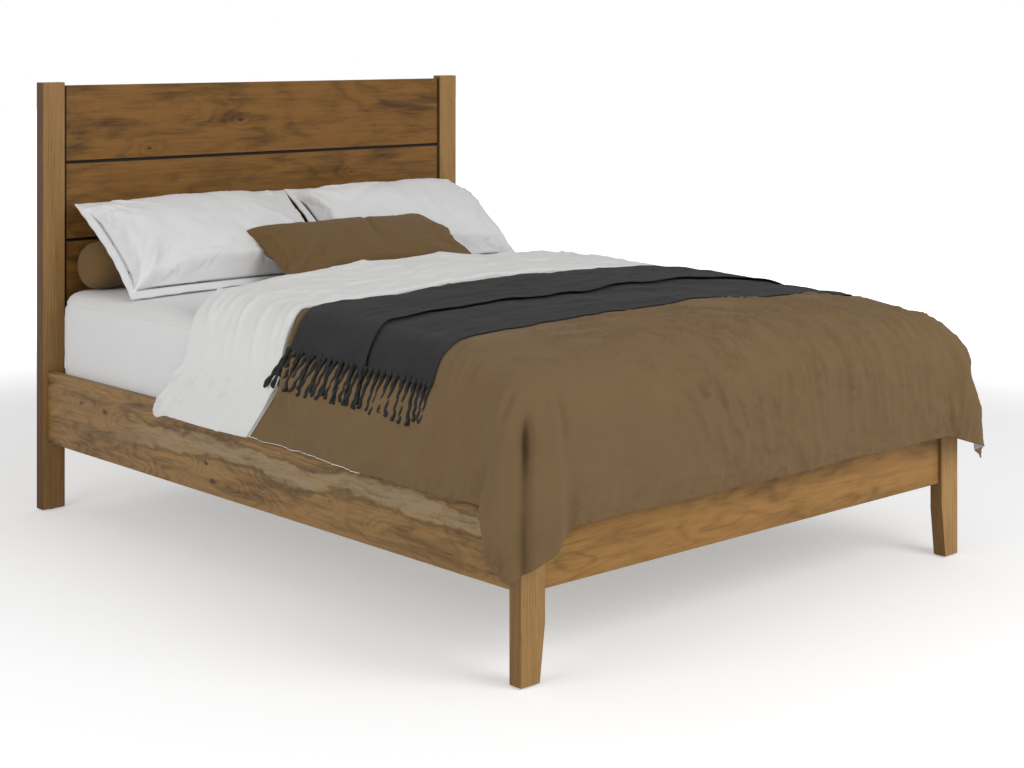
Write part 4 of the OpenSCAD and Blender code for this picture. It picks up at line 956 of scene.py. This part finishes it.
def make_fringe(middle, under_rows, tassel_l, wool):
    """Tassels along both ends of the throw, on its lower layer and on its doubled part"""
    roots, hangs = [], []
    for column, side in ((0, -1), (-1, 1)):
        for rows, count in ((slice(0, under_rows), TASSELS_UNDER),
                            (slice(under_rows + FOLD_ROWS, None), TASSELS_OVER)):
            edge = middle[rows, column]
            picks = np.linspace(0.8, len(edge) - 1.8, count)
            low = np.floor(picks).astype(int)
            root = edge[low] + (edge[low + 1] - edge[low]) * (picks - low)[:, None]
            share = np.clip((root[:, 1] - root[:, 1].min()) / 0.5, 0, 1)
            sway = 0.10 + 0.75 * share ** 1.5 + 0.07 * noise(root[:, 1:2], 0.02, 71)
            roots.append(root + [side * 0.003, 0, 0.003])
            hangs.append(np.stack([np.full(count, side * 0.16), sway, np.full(count, -1.0)], -1))
    values = {"Length": tassel_l, "Strand": STRAND, "Turns": STRAND_TURNS, "Seed": 7}
    fringe = grown("throw_tassels", np.concatenate(roots), {"hang": np.concatenate(hangs)},
                   make_tassel_tree(wool), values, "throw_body")
    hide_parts("throw_fringe")
    return fringe


# Mattress and sheet

# Half width and half length of the mattress, and the radius of its corners seen from above
MATTRESS_X, MATTRESS_Y, MATTRESS_R = 0.762, 1.016, 0.07
# Each corner's side across and along the bed, and the angle at which its arc ends
MATTRESS_CORNERS = (1, -1, 0), (1, 1, 90), (-1, 1, 180), (-1, -1, 270)
# Insets of the rings on the mattress's top and bottom
TOP_INSETS = 0.045, 0.08, 0.13, 0.2, 0.3, 0.42, 0.55, 0.68, 0.745
BOTTOM_INSETS = 0.745, 0.5, 0.25, 0.08, 0.03
SHEET_INSETS = (0.045, 0.06, 0.08, 0.105, 0.13, 0.16, 0.2, 0.25, 0.3, 0.36, 0.42, 0.5, 0.58, 0.66, 0.72,
                0.745)
SHEET_GAP, SHEET_THICK = 0.0006, 0.0012


def mattress_ring(inset, z, count):
    """A rounded rectangle round the mattress, at a height"""
    lo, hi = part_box("mattress")
    hx, hy = MATTRESS_X - inset, MATTRESS_Y - inset
    r = max(0.012, MATTRESS_R - inset)
    lengths = np.array([2 * (hy - r), 2 * (hx - r)] * 2)
    arc = r * math.pi / 2
    along = np.linspace(0, lengths.sum() + 4 * arc, count, endpoint=False)
    points = np.empty((count, 2))
    start = 0.0
    for (sx, sy, angle), straight in zip(MATTRESS_CORNERS, lengths):
        centre = np.array([sx * (hx - r), sy * (hy - r)])
        here = (along >= start) & (along < start + arc)
        a = np.radians(angle - 90) + (along[here] - start) / r
        points[here] = centre + np.stack([r * np.cos(a), r * np.sin(a)], -1)
        start += arc
        here = (along >= start) & (along < start + straight)
        a = math.radians(angle)
        side, ahead = np.array([math.cos(a), math.sin(a)]), np.array([-math.sin(a), math.cos(a)])
        points[here] = centre + side * r + (along[here] - start)[:, None] * ahead
        start += straight
    return np.column_stack([points[:, 0], points[:, 1] + (lo.y + hi.y) / 2, np.full(count, z)])


def top_rings(insets, z, count):
    """Rings over the mattress's top, which follow its crown"""
    rings = [mattress_ring(inset, z, count) for inset in insets]
    for ring in rings:
        ring[:, 2] += crown(ring[:, 0], ring[:, 1])
    return rings


def capped(piece, caps):
    """Closes a skin with faces over its open ends, and turns all its faces outwards"""
    shape = bmesh.new()
    shape.from_mesh(piece.data)
    shape.verts.ensure_lookup_table()
    for cap in caps:
        shape.faces.new([shape.verts[k] for k in cap])
    bmesh.ops.recalc_face_normals(shape, faces=shape.faces)
    shape.to_mesh(piece.data)
    shape.free()
    piece.data.shade_smooth()


class BED_OT_mattress(bpy.types.Operator):
    """Make the mattress with its piping, and the fitted sheet over it"""
    bl_idname = "bed.mattress"
    bl_label = "Mattress and sheet"

    def execute(self, context):
        lo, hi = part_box("mattress")
        low, high = lo.z, hi.z - CROWN
        count = 360
        rings = [mattress_ring(inset, low, count) for inset in BOTTOM_INSETS]
        rings += [mattress_ring(inset, z, count) for z, inset in self.side_profile(low, high)]
        rings = np.array(rings + top_rings(TOP_INSETS, high, count))
        faces = grid_faces(len(rings), count, closed=True, flip=True)
        caps = [list(range(count))[::-1], list(range((len(rings) - 1) * count, len(rings) * count))]
        mattress = new_object("mattress_block", rings, faces, "mattress_body")
        capped(mattress, caps)
        mattress.data.materials.append(cloth("Mattress ticking", (0.78, 0.77, 0.74), pitch=0.003, slubs=0.1,
                                             blotches=0.05))
        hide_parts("mattress")
        self.make_sheet(context, low, high)
        return {"FINISHED"}

    @staticmethod
    def side_profile(low, high):
        """Heights and insets of the side, with a bead of piping at each edge"""
        shape = [(low + up, inset) for up, inset in (
            (0.002, 0.022), (0.006, 0.010), (0.014, 0.003), (0.020, -0.002), (0.025, -0.003), (0.030, -0.001),
            (0.034, 0.002))]
        shape += [(mix(low, high, t), 0.002 - 0.006 * math.sin(math.pi * t))
                  for t in np.linspace(0.15, 0.85, 11)]
        return shape + [(high - down, inset) for down, inset in (
            (0.038, 0.002), (0.033, -0.001), (0.028, -0.002), (0.022, 0.001), (0.014, 0.006), (0.006, 0.016),
            (0.001, 0.030))]

    def make_sheet(self, context, low, high):
        """A thin skin over the mattress, drawn in under its edges"""
        count = 560
        off = SHEET_GAP + SHEET_THICK
        profile = [(low + 0.001, 0.03), (low + 0.001, 0.012), (low + 0.006, 0.003)]
        profile += [(z, -0.0015 - 0.0055 * math.sin(math.pi * (z - low) / (high - low)))
                    for z in np.linspace(low + 0.016, high - 0.045, 26)]
        profile += [(high - down, inset) for down, inset in (
            (0.036, 0.001), (0.027, 0.0025), (0.018, 0.006), (0.010, 0.012), (0.004, 0.021), (0, 0.032))]
        rings = [mattress_ring(inset - off, z, count) for z, inset in profile]
        grid = np.array(rings + top_rings(SHEET_INSETS, high + off, count))
        side = ramp(high - 0.03, high - 0.06, grid[..., 2])
        soft = 0.0016 * layered(grid * [1, 1, 0.35], 0.14, 81)
        soft = soft + 0.0014 * creases(grid * [1, 1, 0.12], 0.12, 83)
        normal = grid_normals(grid)
        middle = np.array([0, grid[..., 1].mean(), (low + high) / 2])
        normal = normal * np.sign(((grid - middle) * normal).sum(-1, keepdims=True))
        grid = grid + normal * np.maximum(0, soft * side + 0.0008 * ramp(0, 1, side))[..., None]
        inside = grid - normal * SHEET_THICK
        rows, whole = len(grid), len(grid) * count
        first = np.arange(count)
        after = (first + 1) % count
        faces = [grid_faces(rows, count, closed=True, flip=True), grid_faces(rows, count, whole, closed=True),
                 np.stack([first, after, after + whole, first + whole], -1)[:, ::-1]]
        piece = new_object("sheet_cloth", np.concatenate([grid.reshape(-1, 3), inside.reshape(-1, 3)]),
                           np.concatenate(faces), "mattress_body")
        capped(piece, [list(range(whole - count, whole)), list(range(2 * whole - count, 2 * whole))[::-1]])
        piece.data.materials.append(cloth("Sheet cotton", context.scene.bed_colours.linen, pitch=0.0009,
                                          slubs=0.04, blotches=0.03))
        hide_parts("fitted_sheet")


# Pillows and cushions

PAD_ROWS, PAD_COLUMNS, PAD_SEAM, PAD_VOXEL = 34, 52, 0.002, 0.006


def pad_points(width, height, front, back, pull):
    """Front and back grids of a pad, as the part's source shapes them"""
    u, v = np.meshgrid(np.linspace(-1, 1, PAD_COLUMNS), np.linspace(1, -1, PAD_ROWS))
    full = (1 - np.abs(u) ** 2.4) ** 0.6 * (1 - np.abs(v) ** 2.4) ** 0.6
    x = u * width / 2 * (1 - pull * (1 - v * v) * u * u)
    y = v * height / 2 * (1 - pull * (1 - u * u) * v * v)
    return [np.stack([x, y, PAD_SEAM + front * full], -1), np.stack([x, y, -PAD_SEAM - back * full], -1)]


def leaning(points, x, y, z, lean, height):
    """Leans a pad back about its lower edge, which stands at x, y and z"""
    cos, sin = math.cos(math.radians(lean)), math.sin(math.radians(lean))
    px, py, pz = points[..., 0], points[..., 1] + height / 2, points[..., 2]
    return np.stack([px + x, y + py * cos - pz * sin, z + py * sin + pz * cos], -1)


def refined(piece):
    """Gives a piece the smooth mesh that its modifiers make"""
    piece.data = applied(piece)
    piece.data.shade_smooth()


def coordinates(mesh):
    values = np.empty(len(mesh.vertices) * 3)
    mesh.vertices.foreach_get("co", values)
    return values.reshape(-1, 3)


def set_coordinates(mesh, values):
    mesh.vertices.foreach_set("co", np.asarray(values).ravel())
    mesh.update()


SIMULATION_FRAMES, PRESSURE, SPARE_CLOTH = 20, 4.0, 0.03


def swell(piece, cap):
    """Cloth simulation: the piece swells under pressure, and no point moves further than cap"""
    start = coordinates(piece.data)
    modifier = piece.modifiers.new("cloth", "CLOTH")
    settings = modifier.settings
    settings.quality = 5
    settings.mass = 0.25
    settings.tension_stiffness = settings.compression_stiffness = 12
    settings.bending_stiffness = 0.4
    settings.use_pressure = True
    settings.uniform_pressure_force = PRESSURE
    settings.shrink_min = -SPARE_CLOTH
    settings.effector_weights.gravity = 0
    modifier.point_cache.frame_start, modifier.point_cache.frame_end = 1, SIMULATION_FRAMES
    scene = bpy.context.scene
    for step in range(SIMULATION_FRAMES):
        scene.frame_set(step + 1)
    ready = piece.evaluated_get(bpy.context.evaluated_depsgraph_get())
    end = coordinates(ready.data)
    piece.modifiers.remove(modifier)
    scene.frame_set(1)
    move = end - start
    far = np.linalg.norm(move, axis=1, keepdims=True)
    set_coordinates(piece.data, start + move * np.minimum(1, cap / np.maximum(far, 1e-6)))


def wrinkled(at, hx, hy, seed, folds, pinched):
    """Creases that fan out of the corners, puckers along the seam, soft dents and single folds

    Within a distance of pinched from the seam, the pad gets thinner.
    """
    x, y, z = at.T
    plane = at[:, :2]
    depth = 0.0040 * layered(plane, 0.13, seed, 2) + 0.0015 * layered(plane, 0.05, seed + 3, 2)
    for k, (sx, sy) in enumerate(itertools.product((-1, 1), repeat=2)):
        away = (plane - [sx * hx, sy * hy]) * [-sx, -sy]
        far = np.linalg.norm(away, axis=1)
        rays = np.stack([np.arctan2(away[:, 1], away[:, 0]) * 0.12, far * 0.1], -1)
        depth += 0.0055 * creases(rays, 0.035, seed + 5 + k) * bump_at(far, 0.10, 0.16)
    from_seam = np.minimum(hx - np.abs(x), hy - np.abs(y))
    along = np.where(hx - np.abs(x) < hy - np.abs(y), y, x)
    puckers = np.sin(along * 210 + 4 * noise(plane, 0.06, seed + 12))
    depth += 0.0011 * puckers * np.exp(-np.maximum(0, from_seam) / 0.035)
    for middle_x, middle_y, turn, reach, width, height in folds:
        a = math.radians(turn)
        u = (x - middle_x) * math.cos(a) + (y - middle_y) * math.sin(a)
        v = (y - middle_y) * math.cos(a) - (x - middle_x) * math.sin(a) + 0.02 * noise(plane, 0.12, seed + 20)
        depth += height * bump_at(u, 0, reach) * bump_at(v, 0, width)
    side = np.sign(z) * np.clip(np.abs(z) / 0.02, 0, 1)
    pinch = mix(0.45, 1, ramp(-0.01, pinched, from_seam))
    return np.stack([x, y, z * pinch + side * depth], -1)


def seam_outline(hx, hy, pull, count):
    """Places round a pad's seam, whose sides draw in between the corners"""
    t = np.linspace(-1, 1, count, endpoint=False)
    drawn = 1 - pull * (1 - t * t)
    sides = [(t * hx, -hy * drawn), (hx * drawn, t * hy), (-t * hx, hy * drawn), (-hx * drawn, -t * hy)]
    return np.concatenate([np.stack(side, -1) for side in sides])


def flange_ribbon(width, height, flange, pull, seed):
    """A doubled edge outside the seam, in gentle waves. Returns its points and faces."""
    count, rows = 110, 6
    inner = seam_outline(width / 2 - flange, height / 2 - flange, pull, count)
    outer = seam_outline(width / 2, height / 2, pull, count)
    shares = np.linspace(-0.9, 1, rows)
    plane = np.stack([mix(inner, outer, s) for s in shares])
    wave = 0.004 * layered(plane, 0.14, seed, 2) + 0.0012 * np.sin(
        np.arange(plane.shape[1]) * 0.42 + 3 * noise(plane, 0.1, seed + 2))
    rise = wave * np.maximum(0, shares)[:, None]
    thick = 0.0016 + 0.0008 * (shares > 0.99)[:, None]
    layers = [np.dstack([plane, rise + thick]), np.dstack([plane, rise - thick])]
    n, m = plane.shape[1], plane.shape[0] * plane.shape[1]
    first = np.arange(n)
    after = (first + 1) % n
    faces = [grid_faces(rows, n, closed=True), grid_faces(rows, n, m, flip=True, closed=True),
             np.stack([first, after, after + m, first + m], -1),
             np.stack([first, after, after + m, first + m], -1)[:, ::-1] + (m - n)]
    return np.concatenate([layer.reshape(-1, 3) for layer in layers]), np.concatenate(faces)


def pad_piece(name, body, shape, cap, shrink, finish, seed):
    """A pad that cloth simulation fills. finish(points) creases it. A wide flange is a ribbon of its own."""
    width, height, front, back, flange, pull = shape
    grids = pad_points(width - 2 * flange, height - 2 * flange, front - shrink, back - shrink * 0.8, pull)
    points, faces = closed_shell(*grids, 3, 0.003)
    core = new_object(name + "_core", points, faces[:, ::-1], None)
    modifier = core.modifiers.new("remesh", "REMESH")
    modifier.mode, modifier.voxel_size = "VOXEL", PAD_VOXEL
    refined(core)
    swell(core, cap)
    modifier = core.modifiers.new("smooth", "SUBSURF")
    modifier.levels = modifier.render_levels = 1
    refined(core)
    points = finish(coordinates(core.data))
    faces = np.empty(len(core.data.loops), int)
    core.data.loops.foreach_get("vertex_index", faces)
    faces = faces.reshape(-1, 4)
    bpy.data.objects.remove(core)
    if flange > 0.01:
        edge, edge_faces = flange_ribbon(width, height, flange, pull, seed)
        faces = np.concatenate([faces, edge_faces + len(points)])
        points = np.concatenate([points, edge])
    return new_object(name, points, faces, body)


class BED_OT_pillows(bpy.types.Operator):
    """Make the two pillows with their flanges"""
    bl_idname = "bed.pillows"
    bl_label = "Pillows"

    HEIGHT, FLANGE, LEAN, FOOT_Y = 0.412, 0.015, 38, 0.671
    # Each one's node, width, middle across the bed and seed, and its folds: place, turn in degrees,
    # reach, width and height
    PILLOWS = (
        ("pillow_left", 0.764, -0.346, 91, [
            (-0.28, -0.11, 50, 0.10, 0.03, 0.014), (-0.02, -0.135, 3, 0.34, 0.022, 0.010),
            (0.24, -0.05, -42, 0.16, 0.022, 0.010), (0.16, -0.09, -30, 0.12, 0.02, 0.008),
            (-0.29, 0.02, 85, 0.12, 0.02, -0.005)]),
        ("pillow_right", 0.750, 0.410, 95, [
            (0.26, -0.02, 62, 0.14, 0.03, 0.008), (-0.12, 0.10, 20, 0.18, 0.03, -0.005),
            (0.0, -0.12, -6, 0.25, 0.025, 0.006)]))

    def execute(self, context):
        linen = cloth("Pillow linen", context.scene.bed_colours.linen, pitch=0.0013, slubs=0.07,
                      blotches=0.03)
        for name, width, x, seed, folds in self.PILLOWS:
            shape = (width, self.HEIGHT, 0.098, 0.054, self.FLANGE, 0.035)
            hx, hy = width / 2 - self.FLANGE, self.HEIGHT / 2 - self.FLANGE
            piece = pad_piece(name + "_cover", name + "_body", shape, 0.02, 0.014,
                              lambda at: wrinkled(at, hx, hy, seed, folds, 0.035), seed)
            at = coordinates(piece.data)
            round_end = ramp(0.55, 1, at[:, 0] / hx) * ramp(-0.02, 0.15, at[:, 1]) * (x > 0)
            at[:, 1] -= 0.055 * round_end
            at = leaning(at, x, self.FOOT_Y, SHEET_TOP + 0.0094, self.LEAN, self.HEIGHT)
            set_coordinates(piece.data, at)
            piece.data.materials.append(linen)
            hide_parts(name)
        return {"FINISHED"}


class BED_OT_cushion(bpy.types.Operator):
    """Make the lumbar cushion and the bolster"""
    bl_idname = "bed.cushion"
    bl_label = "Cushion and bolster"

    # Width, height, swell to the front and the back, flange and how far the sides draw in
    SHAPE = (0.760, 0.304, 0.064, 0.043, 0.006, 0.03)
    MIDDLE_X, FOOT_Y, LEAN = 0.07, 0.480, 34
    FOLDS = [(-0.30, -0.05, 50, 0.14, 0.03, -0.018), (-0.25, 0.02, 62, 0.14, 0.03, 0.010),
             (-0.22, -0.06, 40, 0.10, 0.02, -0.007), (0.02, 0.05, 88, 0.14, 0.02, -0.007),
             (0.1, -0.09, 3, 0.4, 0.03, 0.005)]

    def execute(self, context):
        cotton = cloth("Cushion cotton", context.scene.bed_colours.cushion, pitch=0.0014, slubs=0.12,
                       blotches=0.15)
        width, height = self.SHAPE[:2]
        piece = pad_piece("lumbar_cover", "lumbar_body", self.SHAPE, 0.016, 0.012,
                          lambda at: wrinkled(at, width / 2, height / 2, 111, self.FOLDS, 0.02), 111)
        at = coordinates(piece.data)
        at[:, 1] -= 0.085 * ramp(0.55, 1, at[:, 0] / width * 2) ** 1.5 * ramp(-0.06, 0.12, at[:, 1])
        at = leaning(at, self.MIDDLE_X, self.FOOT_Y, SHEET_TOP + 0.0104, self.LEAN, height)
        set_coordinates(piece.data, at)
        piece.data.materials.append(cotton)
        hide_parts("lumbar_cushion")
        self.make_bolster(cotton)
        return {"FINISHED"}

    # Profile of the bolster's ends: distance from the end, and share of the full radius
    ENDS = ((0, 0.02), (0.0005, 0.2), (0.002, 0.4), (0.006, 0.6), (0.014, 0.78), (0.026, 0.9), (0.042, 0.97),
            (0.06, 1))

    def make_bolster(self, cotton):
        """A stuffed roll with gathers at its ends"""
        lo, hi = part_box("bolster")
        middle = (lo + hi) / 2
        half, r = (hi.x - lo.x) / 2 - 0.003, (hi.z - lo.z) / 2 - 0.002
        far, full = np.array(self.ENDS).T
        x = np.concatenate([-half + far, np.linspace(-half + 0.075, half - 0.075, 120), (half - far)[::-1]])
        share = np.concatenate([full, np.ones(120), full[::-1]])
        count = 72
        turn = np.linspace(0, math.tau, count, endpoint=False)
        xx, tt = np.meshgrid(x, turn, indexing="ij")
        unit = np.stack([xx, 0.08 * np.cos(tt), 0.08 * np.sin(tt)], -1)
        near_end = ramp(half - 0.12, half - 0.01, np.abs(xx))
        gather = 0.0022 * near_end * np.sin(tt * 22 + 2 * noise(unit, 0.05, 97))
        share = share[:, None]
        radius = r * share - 0.0022 + 0.0018 * layered(unit, 0.09, 98) + gather * share ** 0.5
        points = np.stack([xx, middle.y + radius * np.cos(tt), middle.z + radius * np.sin(tt)], -1)
        piece = new_object("bolster_cover", points, grid_faces(len(x), count, closed=True), "bolster_body")
        last = len(x) * count
        capped(piece, [list(range(count)), list(range(last - count, last))[::-1]])
        piece.data.materials.append(cotton)
        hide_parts("bolster")


# Wood and metal of the CAD nodes

def painted_groove_shade(low, high, half):
    """Paints shade in near black on a plank, in the grooves above and below it and at its ends"""
    def tint(n, place, colour):
        at = n.add("ShaderNodeSeparateXYZ", place)
        across = n.math("MAXIMUM", n.between(at.outputs[2], high - 0.004, high - 0.001),
                        n.between(at.outputs[2], low + 0.004, low + 0.001))
        ends = n.between(n.math("ABSOLUTE", at.outputs[0]), half - 0.010, half - 0.007)
        # Near black here is painted shade in the recessed grooves and at the board ends
        return n.blend(n.math("MAXIMUM", across, ends), colour, (0.010, 0.008, 0.006, 1))
    return tint


def pale_band(n, place, colour):
    """A side rail's weathered band: pale sapwood between dark, wandering edges"""
    at = n.add("ShaderNodeSeparateXYZ", place)
    wander = n.noise(n.scaled(place, (3.0, 1, 9)), detail=4, rough=0.65)
    z = n.math("MULTIPLY_ADD", n.math("SUBTRACT", wander, 0.5), 0.16, at.outputs[2])
    far = n.math("ABSOLUTE", n.math("SUBTRACT", z, 0.325))
    rough = n.noise(n.scaled(place, (9, 1, 60)), detail=5, rough=0.7)
    shown = n.between(at.outputs[0], -0.75, -0.35)
    band = n.math("MULTIPLY", n.between(far, 0.036, 0.014), n.between(rough, 0.3, 0.62, 0.1, 0.85))
    from_rim = n.math("ABSOLUTE", n.math("SUBTRACT", far, 0.034))
    rim = n.math("MULTIPLY", n.between(from_rim, 0.010, 0.002), 0.55)
    colour = n.blend(n.math("MULTIPLY", rim, shown), colour, (0.085, 0.05, 0.022, 1))
    return n.blend(n.math("MULTIPLY", band, shown), colour, (0.33, 0.25, 0.145, 1))


class BED_OT_frame(bpy.types.Operator):
    """Give the frame's boards, fittings and feet their finishes"""
    bl_idname = "bed.frame"
    bl_label = "Wood and metal"

    # Each post's and leg's node, title, shares of the wood's colour in its light and dark grain, place in
    # the grain, painted shade on its side faces, ring width and patches
    # The light and dark shares differ from piece to piece, which makes lit and shaded copies of one wood:
    # painted light and shade on each
    POSTS = (
        ("headboard_post_left", "Left post", 1.0, 0.5, (0.3, 0.1, 0.2), (0.28, 0.17, 0.06), 0.007, 0.25),
        ("headboard_post_right", "Right post", 1.13, 0.56, (1.3, 0.1, 0.7), (0.60, 0.58, 0.56), 0.007, 0.25),
        ("foot_leg_left", "Left leg", 1.12, 0.56, (2.3, 0.3, 0.5), (0.60, 0.58, 0.56), 0.008, 0.3),
        ("foot_leg_right", "Right leg", 1.3, 0.65, (3.3, 0.2, 0.1), (0.60, 0.58, 0.56), 0.008, 0.3))
    # Knots of the left rail: place along, through and across it, and size
    RAIL_KNOTS = (
        ((-0.70, -0.796, 0.343), 0.030), ((-0.84, -0.796, 0.35), 0.018), ((-0.186, -0.796, 0.283), 0.016),
        ((-0.15, -0.796, 0.24), 0.026), ((0.94, -0.796, 0.271), 0.014))
    # Each plank's name, lower and upper limit of its face, place in the grain, patches and knots
    PLANKS = (
        ("top", 1.041, 1.3, (0, 0, -1.1), 0.75,
         [((-0.44, 1.044, 1.07), 0.012), ((-0.1, 1.044, 1.15), 0.016)]),
        ("middle", 0.806, 1.036, (2, 0, -0.8), 0.5, [((0.35, 1.044, 0.96), 0.008)]),
        ("bottom", 0.571, 0.801, (4, 0, -0.6), 0.5, []))

    def execute(self, context):
        colours = context.scene.bed_colours

        def darker(c, share):
            return tuple(v * share for v in c)

        finishes = {}
        for name, title, light, dark, shift, sides, rings, patches in self.POSTS:
            finishes[name] = wood(
                title + " wood", darker(colours.post, light), darker(colours.post, dark), "z", shift,
                rings=rings, share=0.35, wavy=0.02, patches=patches, sides=sides)
        rail, rail_dark = colours.side_rail, darker(colours.side_rail, 0.3)
        finishes["side_rail_left"] = wood(
            "Left rail wood", rail, rail_dark, "y", (0, 0, -0.3), rings=0.012, share=0.45, wavy=0.16,
            patches=0.7, tint=pale_band, knots=self.RAIL_KNOTS)
        finishes["side_rail_right"] = wood(
            "Right rail wood", rail, rail_dark, "y", (2, 0, -0.3), rings=0.012, share=0.45, wavy=0.12,
            patches=0.6)
        finishes["foot_rail"] = wood(
            "Foot rail wood", colours.foot_rail, darker(colours.foot_rail, 0.45), "x", (1, 0, -0.3),
            rings=0.012, share=0.4, wavy=0.08, patches=0.55)
        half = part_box("headboard_post_right")[0].x
        for name, low, high, shift, patches, knots in self.PLANKS:
            finishes["plank_" + name] = wood(
                name.title() + " plank wood", colours.plank, darker(colours.plank, 0.32), "x", shift,
                rings=0.016, share=0.35, wavy=0.06, patches=patches, knots=knots,
                tint=painted_groove_shade(low, high, half))
        inner = {axis: wood("Inner wood along " + axis, colours.inner_wood, darker(colours.inner_wood, 0.6),
                            axis, (5, 0.4, 0.3), rings=0.01, share=0.4, wavy=0.04, patches=0.2)
                 for axis in "xyz"}
        by_slot = {"fitting_steel": metal("Plated steel", (0.62, 0.63, 0.65), 0.35),
                   "screw_steel": metal("Screw steel", (0.55, 0.56, 0.58), 0.3),
                   "insert_brass": metal("Insert brass", (0.72, 0.58, 0.32), 0.3),
                   "pad_plastic": plastic("Pad plastic", (0.05, 0.05, 0.05))}
        slots = {part["node"]: part["material_slot"] for part in frame["record"]["subparts"]}
        for name, piece in frame["nodes"].items():
            if name in finishes:
                finish = finishes[name]
            elif slots[name] in by_slot:
                finish = by_slot[slots[name]]
            elif slots[name] == "inner_wood":
                lo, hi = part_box(name)
                size = list(hi - lo)
                finish = inner["xyz"[size.index(max(size))]]
            else:
                continue
            if not piece.material_slots:
                piece.data.materials.append(finish)
            for slot in piece.material_slots:
                slot.material = finish
        return {"FINISHED"}


class BED_OT_stage(bpy.types.Operator):
    """Set up the floor, the lamps, the surroundings and the camera"""
    bl_idname = "bed.stage"
    bl_label = "Stage"

    FLOOR = 30
    # Distances from the middle over which the floor fades into the background
    GLOW_FROM_TO = 2.4, 4.5

    def execute(self, context):
        scene, stage = context.scene, context.scene.bed_stage
        scene.view_settings.view_transform = "Standard"
        mesh = bpy.data.meshes.new("floor")
        corners = [(x * self.FLOOR, y * self.FLOOR, 0) for x, y in ((-1, -1), (1, -1), (1, 1), (-1, 1))]
        mesh.from_pydata(corners, [], [(0, 1, 2, 3)])
        floor = bpy.data.objects.new("floor", mesh)
        scene.collection.objects.link(floor)
        material, n, surface = new_material("Studio floor")
        surface.inputs["Base Color"].default_value = (0.8, 0.8, 0.8, 1)
        surface.inputs["Roughness"].default_value = 1.0
        surface.inputs["Specular IOR Level"].default_value = 0.0
        mesh.materials.append(material)
        far = n.between(n.vector("LENGTH", n.place()).outputs[1], *self.GLOW_FROM_TO)
        glow = n.between(far, 0.0, 1.0, stage.glow, 1.0, smooth=False)
        glow = n.add("ShaderNodeEmission", (1, 1, 1, 1), n.math("MULTIPLY", n.seen(), glow))
        both = n.add("ShaderNodeAddShader", surface, glow)
        output = next(node for node in material.node_tree.nodes if node.type == "OUTPUT_MATERIAL")
        n.put(output.inputs["Surface"], both)
        world = bpy.data.worlds.new("Studio")
        world.use_nodes = True
        scene.world = world
        n = Nodes(world.node_tree)
        strength = n.add("ShaderNodeMix", n.seen(), stage.sky, 1.0, data_type="FLOAT")
        n.put(n.add("ShaderNodeOutputWorld").inputs["Surface"],
              n.add("ShaderNodeBackground", (1, 1, 1, 1), strength))
        self.lamp(scene, "key", stage.key, 3.2, (0.7, -4.6, 2.9))
        self.lamp(scene, "fill", stage.fill, 3.2, (-4.6, -0.6, 1.9))
        camera = bpy.data.objects.new("camera", bpy.data.cameras.new("camera"))
        scene.collection.objects.link(camera)
        scene.camera = camera
        camera.data.lens = stage.lens
        camera.data.sensor_width = 36
        camera.data.shift_y = stage.camera_shift
        camera.location = stage.camera_place
        camera.rotation_euler = (math.radians(90), 0, -stage.camera_turn)
        return {"FINISHED"}

    @staticmethod
    def lamp(scene, name, power, size, place):
        """A round lamp that faces the middle of the bed"""
        light = bpy.data.lights.new(name, "AREA")
        light.shape = "DISK"
        light.size = size
        light.energy = power
        lamp = bpy.data.objects.new(name, light)
        scene.collection.objects.link(lamp)
        lamp.location = place
        toward = -np.array(place) + [0, 0, 0.5]
        x, y, z = toward / np.linalg.norm(toward)
        lamp.rotation_euler = (math.acos(-z), 0, math.atan2(y, x) - math.pi / 2)


OPERATORS = (BED_OT_frame, BED_OT_mattress, BED_OT_duvet, BED_OT_throw, BED_OT_pillows, BED_OT_cushion,
             BED_OT_stage)


class BED_PT_panel(bpy.types.Panel):
    """Lists the steps that dress the bed"""
    bl_idname = "BED_PT_panel"
    bl_label = "Panel bed"
    bl_space_type = "VIEW_3D"
    bl_region_type = "UI"
    bl_category = "Bed"

    def draw(self, context):
        for step in OPERATORS:
            self.layout.operator(step.bl_idname)
        for group in (context.scene.bed_cover, context.scene.bed_colours, context.scene.bed_stage):
            for key in group.bl_rna.properties.keys():
                if key not in {"rna_type", "name"}:
                    self.layout.prop(group, key)


CLASSES = (BedCoverSizes, BedColours, BedStage, *OPERATORS, BED_PT_panel)


def register():
    for cls in CLASSES:
        bpy.utils.register_class(cls)
    bpy.types.Scene.bed_cover = bpy.props.PointerProperty(type=BedCoverSizes)
    bpy.types.Scene.bed_colours = bpy.props.PointerProperty(type=BedColours)
    bpy.types.Scene.bed_stage = bpy.props.PointerProperty(type=BedStage)


def unregister():
    for name in ("bed_cover", "bed_colours", "bed_stage"):
        delattr(bpy.types.Scene, name)
    for cls in reversed(CLASSES):
        bpy.utils.unregister_class(cls)


def main():
    register()
    for step in OPERATORS:
        group, name = step.bl_idname.split(".")
        getattr(getattr(bpy.ops, group), name)()


if __name__ == "__main__":
    main()
